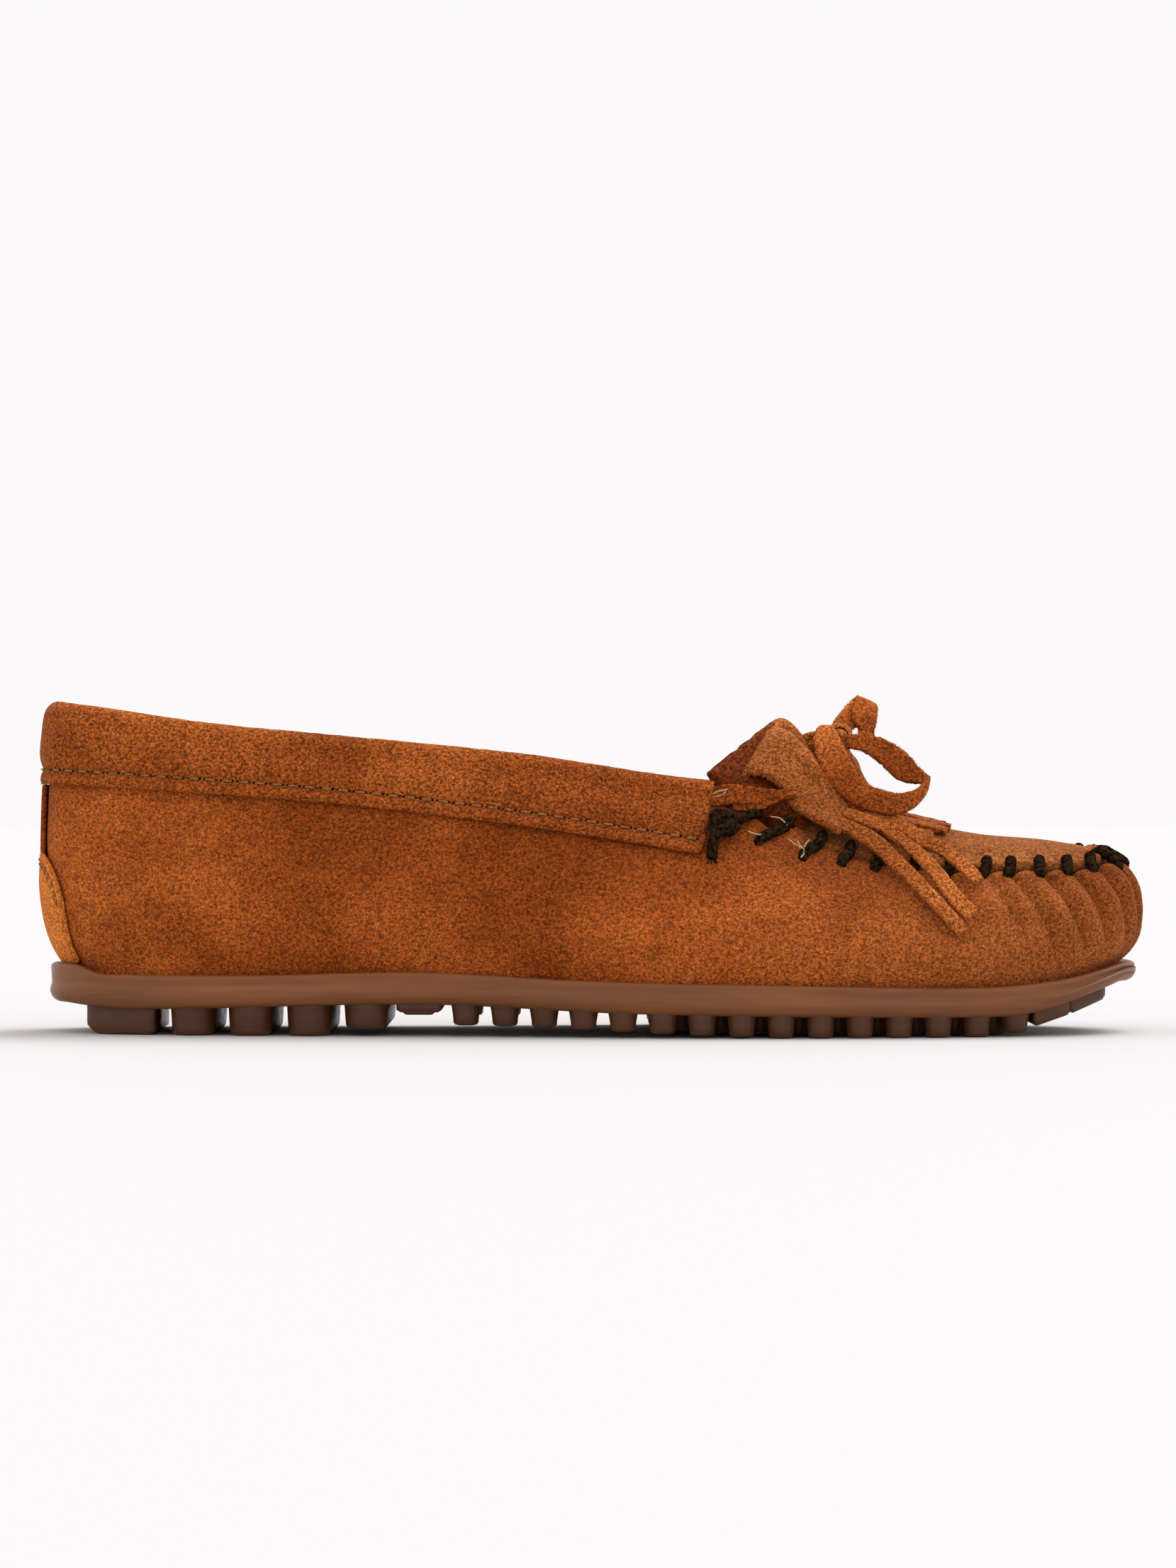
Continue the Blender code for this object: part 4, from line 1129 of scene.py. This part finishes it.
# the collar's section: (depth, height over its lower edge), then (depth, height over its top)
COLLAR_LOW = ((-0.55, 0.0), (-1.0, 0.0), (-1.6, 0.05), (-2.0, 0.35), (-2.15, 0.9), (-2.1, 1.8), (-1.85, 2.6),
              (-1.55, 3.2), (-1.6, 3.7), (-1.95, 4.4), (-2.35, 5.6), (-2.6, 7.4), (-2.65, 9.4))
COLLAR_HIGH = ((-2.5, -5.4), (-2.35, -4.0), (-2.1, -2.8), (-1.7, -1.8), (-1.0, -0.9), (-0.2, -0.25),
               (0.8, 0.05), (2.0, 0.0), (3.0, -0.5), (3.8, -1.4), (4.2, -2.8), (4.3, -5.0), (4.2, -8.0),
               (4.2, -11.6), (3.9, -12.2), (3.3, -12.2), (2.9, -11.6))
COLLAR_STEPS, COLLAR_FRONT, STITCH_HEIGHT = 250, 26.5, 3.35

def collar_section(side, q):
    """The collar's section at q as points, from inside its lower edge over the top and down inside."""
    x, _, nx, ny = plan(side, q)
    reach = min(1.0, max(0.0, (x - 23.7) / 2.8))
    top, foot = along(COLLAR_TOP, x), along(COLLAR_FOOT, x) + 2.3 * (1 - math.sqrt(1 - reach ** 2))
    section = [(depth, foot + dz, dz < 1) for depth, dz in COLLAR_LOW]
    section += [(depth, top + dz, True) for depth, dz in COLLAR_HIGH]
    row = []
    for depth, z, uneven in section:
        p = skin(side, q, z, depth)
        if depth < 0:
            wave = 0.35 * rough_at(p, 0.07, 11) + 0.16 * rough_at(p, 0.2, 4)
            puff = math.sin(math.pi * min(1, max(0, (z - foot - 3.3) / (top - foot - 3.3))))
            p -= Vector((nx, ny, 0)) * wave * (0.25 + 0.75 * puff)
        rise = min(1.0, max(0.0, (z - foot) / (top - foot)))
        p.x += ease(20, COLLAR_FRONT, x) * (-0.7 + 2.1 * rise)
        if uneven:
            p.z += 0.12 * rough_at(p, 0.4, 9)
        row.append(p)
    return row


rows = []
for side, order in ((-1, range(COLLAR_STEPS + 1)), (1, range(COLLAR_STEPS, 0, -1))):
    q_front = q_at(side, COLLAR_FRONT)
    rows += [collar_section(side, q_front * (1 - i / COLLAR_STEPS)) for i in order]
collar = Build()
base = collar.grid(rows)
n = len(rows[0])
for start in (base, base + (len(rows) - 1) * n):
    for k in range(n // 2):
        corners = tuple(dict.fromkeys((start + k, start + k + 1, start + n - 2 - k, start + n - 1 - k)))
        if len(corners) > 2:
            collar.f.append(corners)
for side in (-1, 1):
    edge = []
    for i in range(161):
        q = q_at(side, 24.6) * i / 160
        x, _, nx, ny = plan(side, q)
        edge.append((skin(side, q, along(COLLAR_FOOT, x) + 0.1, -1.7), Vector((-nx * 0.7, -ny * 0.7, -0.7))))
    fuzz(collar, edge, 0.8, 0.35, 5 + side)
piece("collar_band", collar, SUEDE_COLLAR, stands_for=("collar",))

line = []
for side, order in ((-1, range(241)), (1, range(240, -1, -1))):
    for i in order:
        q = q_at(side, 24.8) * (1 - i / 240)
        x, _, nx, ny = plan(side, q)
        line.append((skin(side, q, along(COLLAR_FOOT, x) + STITCH_HEIGHT, -1.62), Vector((-nx, -ny, 0))))
threads, holes = Build(), Build()
thread_line(threads, line, 3.9, 2.0, 0.27, 1.0, holes)
piece("collar_stitches", threads, THREAD, stands_for=("collar_stitching",))

# ---- back stay and heel patch

stay = Build()
rows = []
for i in range(-6, 7):
    side, q = (-1 if i < 0 else 1), abs(i) / 6 * 0.030
    rows.append([skin(side, q, 40.5 + 18.0 * k / 14, -1.05) for k in range(15)])
shell(stay, rows, 1.3, 0.15)
piece("heel_back_stay", stay, SUEDE, stands_for=("back_stay",))

PATCH_HALF, PATCH_TOP, PATCH_LOW = 0.090, 42.4, 16.6
PATCH_REACH = PATCH_HALF * 290  # mm from its middle to one side


def patch_top(share):
    """Height of the patch's rounded top at this share of its half width."""
    return PATCH_LOW + 9 + (PATCH_TOP - PATCH_LOW - 9) * max(0.0, 1 - abs(share) ** 4) ** 0.5


def patch_point(share, z, depth):
    side = -1 if share < 0 else 1
    return skin(side, abs(share) * PATCH_HALF, z, depth)


patch = Build()
rows = []
for i in range(-26, 27):
    share = math.sin(i / 26 * math.pi / 2)
    top = patch_top(share)
    row = []
    for k in range(27):
        f = k / 26
        z = PATCH_LOW + (top - PATCH_LOW) * f
        rim = min((1 - abs(share)) * PATCH_REACH, top - z)
        groove = 0.28 * math.exp(-((rim - 1.5) / 0.55) ** 2) + 0.28 * math.exp(-((rim - 2.6) / 0.55) ** 2)
        row.append(patch_point(share, z, -1.25 - 0.25 * ease(2.5, 8, rim) + groove))
    rows.append(row)
shell(patch, rows, 1.5, 0.15)
piece("heel_patch_cap", patch, SUEDE_PATCH_PALE_LIT, stands_for=("heel_patch",))
threads = Build()
for inner, start in ((1.5, 0.4), (2.6, 1.2)):
    line = []
    for i in range(-60, 61):
        share = math.sin(i / 60 * math.pi / 2) * (1 - inner / PATCH_REACH)
        z = max(patch_top(share * (1 + 0.4 * inner / 18)) - inner, PATCH_LOW + 1.0)
        p = patch_point(share, z, -1.72)
        nx, ny = plan(-1 if share < 0 else 1, abs(share) * PATCH_HALF)[2:]
        line.append((p, Vector((-nx, -ny, 0))))
    thread_line(threads, line, 2.4, 1.7, 0.24, start)
piece("heel_patch_threads", threads, THREAD, stands_for=("heel_patch_stitching",))
# dark ovals of painted shade at the collar's stitch holes
piece("stitch_hole_shade", holes, CORD, smooth=False)

# ---- tongue

def tongue_point(v, w):
    """The tongue from its seam (w 0) to its top (w 1), across v from -1 outer to 1 inner."""
    x = 57 - 9 * v * v + (-13.6 - 6 * v * v) * w
    y = 16.6 * v * (1 - 0.05 * w)
    low = plug_z(57 - 9 * v * v, 0.8 * v) + 2.9
    z = low + (73.7 - 12 * v * v - 0.9 * max(0.0, 1 - (v / 0.25) ** 2) - low) * w
    return Vector((x, y, z))


tongue = Build()
rows = []
for i in range(25):
    w = i / 24
    row = []
    for k in range(49):
        v = -1.2 + k / 20
        extra = max(0.0, abs(v) - 1)
        p = tongue_point(max(-1.0, min(1.0, v)), w * 1.12 - 0.12)
        p.y *= 1 + 0.16 * (1 - w) ** 1.5 + 0.5 * extra
        p.z -= 34 * extra * ease(1.0, 0.8, w)
        p += Vector((0.5, 0, 0.4)) * rough_at(p, 0.09, 21)
        row.append(p)
    rows.append(row)
shell(tongue, rows, 1.7, 0.35, seed=3)
# the tongue's darker suede is painted shade
piece("tongue_sheet", tongue, SUEDE_PAINTED_SHADE, body="tongue", stands_for=("tongue",))

# ---- kiltie flap and its cut fringe

# the flap from its fold to the fringe: (x, z) on the centre line, (x, y, z) on its outer edge
FOLD_MID = ((42.0, 70.0), (43.2, 72.2), (45.2, 73.3), (47.4, 72.2), (50.2, 69.4), (53.4, 65.6), (56.6, 61.9),
            (59.4, 58.8), (61.6, 56.6))
FOLD_EDGE = ((36.2, -16.0, 58.4), (36.0, -16.8, 60.0), (38.2, -17.6, 60.9), (41.0, -18.2, 60.1),
             (44.2, -19.0, 57.9), (46.2, -20.4, 54.6), (49.0, -22.2, 51.6), (53.0, -24.4, 49.4),
             (58.0, -26.4, 47.2))
KNOT = Vector((58.6, -0.5, 69.6))


def curve_at(points, t):
    f = t * (len(points) - 1)
    i = min(int(f), len(points) - 2)
    return hermite(points, i, f - i)


def flap_point(v, t):
    """The flap from its fold (t 0) to the roots of the fringe (t 1), across v from -1 outer to 1 inner."""
    m = curve_at([(a, 0, b) for a, b in FOLD_MID], t)
    e = curve_at(FOLD_EDGE, t)
    side = -1 if v < 0 else 1
    a = abs(v)
    w = a * a * (1 - 0.12 * (1 - t)) + 0.12 * (1 - t) * a ** 4
    p = Vector((m.x + (e.x - m.x) * w, side * -e.y * (0.94 * a + 0.06 * a ** 3), m.z + (e.z - m.z) * w))
    d = math.hypot(p.y, (p.x - 52) * 0.9)
    ang = math.atan2(p.y, p.x - 50)
    wide = ease(0.12, 0.4, t) * ease(1.0, 0.78, t)
    ridge = 2.2 * math.exp(-((a - 0.58) / 0.15) ** 2) - 2.4 * math.exp(-((a - 0.28) / 0.12) ** 2)
    ridge += 0.6 * math.exp(-((a - 0.84) / 0.08) ** 2) * ease(0.3, 0.6, t)
    pleat = 0.35 * math.sin(ang * 11 + side) * ease(0.3, 0.6, t) * ease(3, 9, d)
    relief = ridge * wide * (1 if side < 0 else 0.8) + pleat + 0.45 * rough_at(p, 0.13, 31)
    return p + Vector((0.35, 0.75 * side * min(1, 2 * a), 0.6)) * relief


flap = Build()
rows = []
for i in range(34):
    t = i / 33
    rows.append([flap_point(-1 + k / 30, t) for k in range(61)])
shell(flap, rows, 1.8, 0.85, seed=9)
piece("kiltie_flap", flap, SUEDE_FLAP, body="kiltie", stands_for=("kiltie",))

# strip centre lines on the outer side as (x, height, lift off the leather)
NEAR_STRIPS = (
    ((54.5, 49.6, 3.6), (58.5, 48.3, 4.2), (62.6, 46.0, 4.6), (66.5, 43.6, 4.2), (70.3, 40.4, 3.2),
     (74.4, 36.7, 2.6), (78.5, 32.7, 2.2), (82.6, 28.4, 1.9), (86, 24.8, 1.7)),
    ((56.5, 51.6, 3.6), (62.0, 49.6, 4.4), (68.2, 47.4, 4.8), (72.0, 44.9, 4.6), (76, 41.4, 3.8),
     (80, 37.6, 3.0), (83.6, 33.0, 2.4), (86.2, 30.2, 2.1), (88.4, 28.5, 2.4)),
    ((57.5, 53.4, 3.6), (63.0, 51.6, 4.2), (69.0, 49.2, 4.6), (74.4, 46.6, 4.2), (78.5, 44.2, 3.8),
     (82.6, 41.9, 3.2), (86.7, 39.0, 2.8), (90.2, 35.6, 2.4)),
)
fringe = Build()


def strip(points, width, thick, seed):
    """One cut strip of the fringe, lying along its points."""
    path = smooth_path(points, 6)
    half = []
    for i, p in enumerate(path):
        s = i / (len(path) - 1)
        w = tangent(path, i).cross(plan_normal(p)).normalized()
        half.append(w * width / 2 * (1 + 0.10 * math.sin(7 * s + seed)) * (1 - 0.25 * ease(0.93, 1.0, s)))
    strap(fringe, path, half, thick, seed)
    for way in (-1, 1):
        fuzz(fringe, [(p + h * way, h * way) for p, h in zip(path, half)], 0.55, 0.45, seed * 7 + way)


def plan_normal(p):
    """Leather's outward direction near a point over the vamp."""
    side = -1 if p.y < 0 else 1
    half = half_at(side, min(p.x, 120))
    share = abs(p.y) / half
    v = min(1.0, share)
    tip = ease(wrap_edge(p.x) + 9, wrap_edge(p.x) - 1, p.z) * ease(0.6, 0.95, share)
    slope = along(CROWN, p.x) * 0.9 * max(0.05, 1 - v * v) ** -0.1 * 2 * v / half
    n = Vector((0.12, side * slope, 1.0)).normalized()
    return (n * (1 - tip) + Vector((0.1, side * 0.93, 0.35)) * tip).normalized()


for side in (-1, 1):
    for j, line in enumerate(NEAR_STRIPS):
        pts = []
        for x, z, lift in line:
            low = z - lift * 0.55
            if side > 0:
                low += 0.9 * rough_at((x, z, j), 0.2, 40)
            on_side = low < plug_z(x, 0) - 0.6
            pts.append(over(x, across(side, x, low) if on_side else side * 4.0, lift))
        strip(pts, 3.6, 1.3, j * 3 + side)
for j in range(-3, 4):
    root, tip = 56.0 - 0.25 * j * j, 84.0 - 0.3 * j * j + 1.6 * math.sin(5.1 * j)
    pts = []
    for i in range(8):
        t = i / 7
        x = root + (tip - root) * t
        s = (3.9 + 1.3 * t) * j + 1.3 * math.sin(2.2 * t * 3 + j * 1.7) * t
        lift = 0.9 + 3.0 * (1 - t) ** 2.2 + 0.25 * math.sin(3 * t + j) * t
        pts.append(over(x, s, lift))
    strip(pts, 3.7, 1.2, j * 1.3)
for v in (-1, 1):
    edge = [(flap_point(v, i / 40), flap_point(v * 0.97, i / 40)) for i in range(41)]
    fuzz(fringe, [(p, p - q) for p, q in edge], 0.9, 0.14, v)
piece("kiltie_fringe", fringe, SUEDE_FRINGE_LIT, body="kiltie")

# ---- lace ends leaving the collar

# the two rails of each ribbon as (x, z)
LACE_BAND = (((25.4, 58.0), (25.6, 52.9)), ((29.4, 58.0), (29.8, 53.4)), ((33.0, 58.5), (33.4, 54.0)),
             ((37.0, 58.0), (37.2, 53.4)), ((41.0, 57.3), (41.2, 54.2)), ((45.0, 57.0), (45.2, 55.4)),
             ((48.0, 57.0), (48.2, 55.8)))
LACE_LIP = (((33.5, 54.6), (33.2, 52.6)), ((36.0, 54.2), (36.0, 52.3)), ((39.0, 54.5), (39.2, 52.5)),
            ((42.0, 55.9), (42.4, 53.8)), ((45.4, 57.6), (46.0, 55.9)))


def lace_y(side, x):
    """Where the lace runs at x: out of the collar's channel, then in towards the flap."""
    return skin(side, q_at(side, 27.4), 57, 0.2).y - side * (x - 25.5) * (0.17 if side < 0 else 0.02)


def lace_rails(side, points, off, tilt):
    rails = []
    for (ux, uz), (lx, lz) in points:
        y = lace_y(side, ux) + side * off
        rails.append(((ux, y - side * tilt, uz), (lx, y + side * tilt, lz)))
    return rails


for side, name in ((-1, "outer"), (1, "inner")):
    lace = Build()
    ribbon(lace, lace_rails(side, LACE_BAND, 0.4, 0.7), 1.5, bulge=0.5, seed=side * 2, fray=0.25)
    ribbon(lace, lace_rails(side, LACE_LIP, 2.0, 0.1), 1.1, bulge=0.7, seed=side * 3, fray=0.3)
    piece(name + "_lace_band", lace, SUEDE_COLLAR, stands_for=(name + "_lace_end",))
    # a dark sheet under each lace end: painted shade where the lining lies in shadow
    inside = Build()
    for_x = [(x, lace_y(side, x) - side * 0.9, (x - 40) * 0.12) for x in (38.5, 41, 44, 47.5)]
    inside.grid([[Vector((x, y, z + rise)) for z in (50.6, 52, 54, 56.6)] for x, y, rise in for_x])
    piece(name + "_lace_gap_shade", inside, SUEDE_PAINTED_SHADE)

# broken sewing threads where the collar and the seam end on the outer side
FRAYS = (((27.6, 56.2), (29.2, 56.9), (31.4, 57.3)), ((27.8, 55.6), (29.6, 55.9), (31.0, 56.8)),
         ((42.3, 51.0), (44.6, 50.6), (46.6, 48.9)), ((36.5, 47.6), (39.0, 46.9), (41.6, 46.8)),
         ((46.4, 46.0), (48.2, 44.6), (50.4, 43.5)), ((50.4, 43.5), (51.2, 44.9), (52.2, 45.6)),
         ((50.4, 43.5), (50.2, 42.4), (49.4, 41.6)), ((50.4, 43.5), (49.4, 44.4), (49.0, 45.4)))
frays = Build()
for line in FRAYS:
    frays.tube(smooth_path([skin(-1, q_at(-1, x), z, -1.6) for x, z in line], 5), 0.17, 6)
piece("loose_threads", frays, PALE_THREAD)

# ---- bow

# pairs of points on the two edges of each loop's lace, from the knot round and back to it
OUTER_LOOP = (
    ((55.4, -2.6, 70.4), (58.2, -2.8, 69.0)), ((54.3, -4.4, 71.8), (57.6, -4.8, 71.6)),
    ((52.8, -7.4, 69.2), (58.9, -7.8, 69.4)), ((53.2, -9.8, 65.8), (60.0, -10.4, 67.2)),
    ((54.3, -12.2, 62.0), (61.2, -12.8, 64.6)), ((56.4, -14.2, 58.4), (62.6, -14.2, 61.9)),
    ((59.8, -16.0, 55.0), (64.2, -15.4, 59.6)), ((63.8, -17.2, 52.6), (66.8, -16.2, 57.8)),
    ((68.0, -18.0, 51.5), (69.8, -16.6, 56.8)), ((72.2, -18.0, 51.5), (72.8, -16.4, 56.4)),
    ((75.6, -17.0, 52.8), (75.8, -15.6, 57.0)), ((78.0, -15.2, 55.2), (78.2, -14.0, 58.8)),
    ((78.8, -12.8, 57.6), (79.3, -11.8, 60.4)), ((77.4, -11.0, 58.8), (78.6, -9.8, 61.6)),
    ((74.8, -10.2, 59.0), (76.9, -8.8, 63.4)), ((72.0, -9.8, 60.0), (74.4, -8.2, 66.2)),
    ((69.3, -9.2, 62.6), (71.2, -7.6, 68.3)), ((66.7, -8.6, 64.9), (67.8, -7.0, 69.6)),
    ((64.1, -7.4, 66.4), (64.5, -6.2, 70.3)), ((61.6, -6.0, 67.0), (61.4, -5.0, 70.1)),
    ((59.4, -4.0, 66.8), (59.0, -3.4, 69.6)))
bow = Build()
ribbon(bow, OUTER_LOOP, 1.7, steps=5, seed=4)
fibres = Build()
ribbon_fibres(fibres, OUTER_LOOP, 3)
piece("outer_loop_fibres", fibres, SUEDE_BAND_LIT, body="outer_loop")
piece("bow_loop_outer", bow, SUEDE_BAND_LIT, body="outer_loop", stands_for=("outer_bow_loop",))

INNER_LOOP = (
    ((57.0, 2.6, 71.4), (59.3, 3.0, 69.2)), ((58.8, 5.0, 74.4), (61.4, 5.6, 70.6)),
    ((61.2, 7.6, 77.2), (64.8, 8.6, 73.2)), ((62.9, 9.4, 78.9), (67.4, 10.6, 76.2)),
    ((63.6, 9.6, 79.3), (68.5, 10.8, 77.0)), ((63.3, 8.6, 78.6), (68.8, 9.8, 76.3)),
    ((62.4, 7.2, 76.0), (68.5, 8.4, 73.9)), ((62.7, 6.4, 73.6), (67.9, 7.4, 71.4)),
    ((64.2, 6.2, 71.6), (67.4, 6.8, 69.6)), ((63.2, 5.0, 69.8), (65.4, 5.4, 68.4)),
    ((61.0, 3.4, 69.4), (62.0, 3.6, 67.6)))
bow = Build()
ribbon(bow, INNER_LOOP, 1.5, seed=8)
ribbon_fibres(bow, INNER_LOOP, 4)
piece("bow_loop_inner", bow, SUEDE_BAND_LIT, body="inner_loop", stands_for=("inner_bow_loop",))

knot = Build()
rows = []
for i in range(29):
    a = 2 * math.pi * i / 28
    c = KNOT + Vector((0.6 * math.sin(a), 0, 0))
    r = Vector((math.cos(a) * 2.7, 0.5 * math.sin(2 * a), math.sin(a) * 2.5))
    near, far = c + r + Vector((0, -2.3, 0)), c + r * 1.02 + Vector((0, 2.3, 0))
    mid = (near + far) / 2
    out = (mid - KNOT).normalized()
    row = []
    for k in range(11):
        s = -1 + k / 5
        p = mid + (far - near) / 2 * s
        row.append(p + out * (1.1 * (1 - s ** 4) ** 0.5 + 0.25 * rough_at(p, 0.4, 77)))
    rows.append(row)
knot.grid(rows)
for neck, radius in ((((48.2, -1.2, 66.6), (50.6, -1.0, 69.0), (53.2, -1.0, 69.9), (56.4, -1.0, 69.8)), 1.25),
                     (((48.6, -1.6, 65.4), (51.4, -1.6, 67.2), (54.0, -1.6, 68.0), (57.0, -1.0, 68.6)), 1.5)):
    knot.tube(smooth_path(neck, 4), radius, 10)
ball = []
for i in range(13):
    th = math.pi * i / 12
    row = []
    for k in range(24):
        ph = 2 * math.pi * k / 24
        d = Vector((math.sin(th) * math.cos(ph) * 2.9, math.cos(th) * 4.2, math.sin(th) * math.sin(ph) * 2.6))
        row.append(KNOT + d * (1 + 0.10 * rough_at(d, 0.5, 90)))
    ball.append(row)
knot.grid(ball, wrap_cols=True)
piece("bow_knot_wraps", knot, SUEDE_FLAP, body="kiltie", stands_for=("bow_knot",))

for side, name in ((-1, "outer"), (1, "inner")):
    tail = Build()
    pts = [KNOT + Vector((0.5, side * 1.5, -1.8)), KNOT + Vector((3.2, side * 4.6, -5.4)),
           over(64.5, side * 8.2, 7.6), over(67.5, side * 9.6, 6.6), over(70.5, side * 10.2, 5.9)]
    path = smooth_path(pts, 8)
    flat = Vector((0.2, 1.0, -0.25 * side)).normalized()
    strap(tail, path, [flat * (2.3 + 0.2 * math.sin(i)) for i in range(len(path))], 1.5, side + 5)
    piece(name + "_tail", tail, SUEDE_FLAP, body="kiltie", stands_for=(name + "_lace_tail",))

# ---- hidden inner layers keep their CAD shape
for name, dark, light in (("insole_board", (0.36, 0.28, 0.18), (0.48, 0.38, 0.26)),
                          ("footbed", (0.5, 0.44, 0.34), (0.6, 0.54, 0.44)),
                          ("heel_counter", (0.42, 0.35, 0.25), (0.55, 0.47, 0.35)),
                          ("collar_lace", (0.22, 0.08, 0.02), (0.34, 0.13, 0.04))):
    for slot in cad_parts[name].material_slots:
        slot.material = grained(name + "_look", 0.85, (500, 3.0), dark, light, 0.3, 0.2)

# ---- floor, light, camera

floor = bpy.data.meshes.new("floor")
floor.from_pydata([(-6, -6, 0), (6, -6, 0), (6, 6, 0), (-6, 6, 0)], [], [(0, 1, 2, 3)])
m, nt, b = principled("floor_white", 0.8)
b.inputs["Base Color"].default_value = (0.600, 0.594, 0.606, 1)
b.inputs["Specular IOR Level"].default_value = 0.1
floor.materials.append(m)
placed("floor", floor)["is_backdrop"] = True

# the camera sees a near-white backdrop; everything else is lit by a softer sky
world = bpy.data.worlds.new("studio")
bpy.context.scene.world = world
world.use_nodes = True
nt = world.node_tree
seen = nt.nodes["Background"]
seen.inputs[0].default_value = (1.0, 0.98, 0.985, 1)
seen.inputs[1].default_value = 0.966
lit = nt.nodes.new("ShaderNodeBackground")
lit.inputs[0].default_value = (1.0, 0.99, 0.98, 1)
lit.inputs[1].default_value = 1.0
which = nt.nodes.new("ShaderNodeLightPath")
both = nt.nodes.new("ShaderNodeMixShader")
nt.links.new(which.outputs["Is Camera Ray"], both.inputs[0])
nt.links.new(lit.outputs[0], both.inputs[1])
nt.links.new(seen.outputs[0], both.inputs[2])
nt.links.new(both.outputs[0], nt.nodes["World Output"].inputs[0])

sun = bpy.data.lights.new("softbox", "SUN")
sun.energy = 2.2
sun.angle = math.radians(40)
sun.color = (1.0, 0.985, 0.97)
placed("softbox", sun).rotation_euler = Vector((0.42, 0.34, 1.0)).to_track_quat("Z", "Y").to_euler()

NEAR_SIDE = 0.03  # m from the centre plane to the upper's near side
DISTANCE = 1.25  # m from the camera to the near side
VIEW_HEIGHT = 0.3638  # m seen from top to bottom at that distance
cam = bpy.data.cameras.new("camera")
cam.sensor_fit = "VERTICAL"
cam.sensor_height = 36
cam.lens = cam.sensor_height * DISTANCE / VIEW_HEIGHT
cam.clip_start, cam.clip_end = 0.02, 30
camera = placed("camera", cam)
camera.location = (-0.0005, -(DISTANCE + NEAR_SIDE), 0.0586)
camera.rotation_euler = (math.pi / 2, 0, 0)
bpy.context.scene.camera = camera
bpy.context.scene.view_settings.view_transform = "Standard"

sizes["before_finish"] = plain(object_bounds())
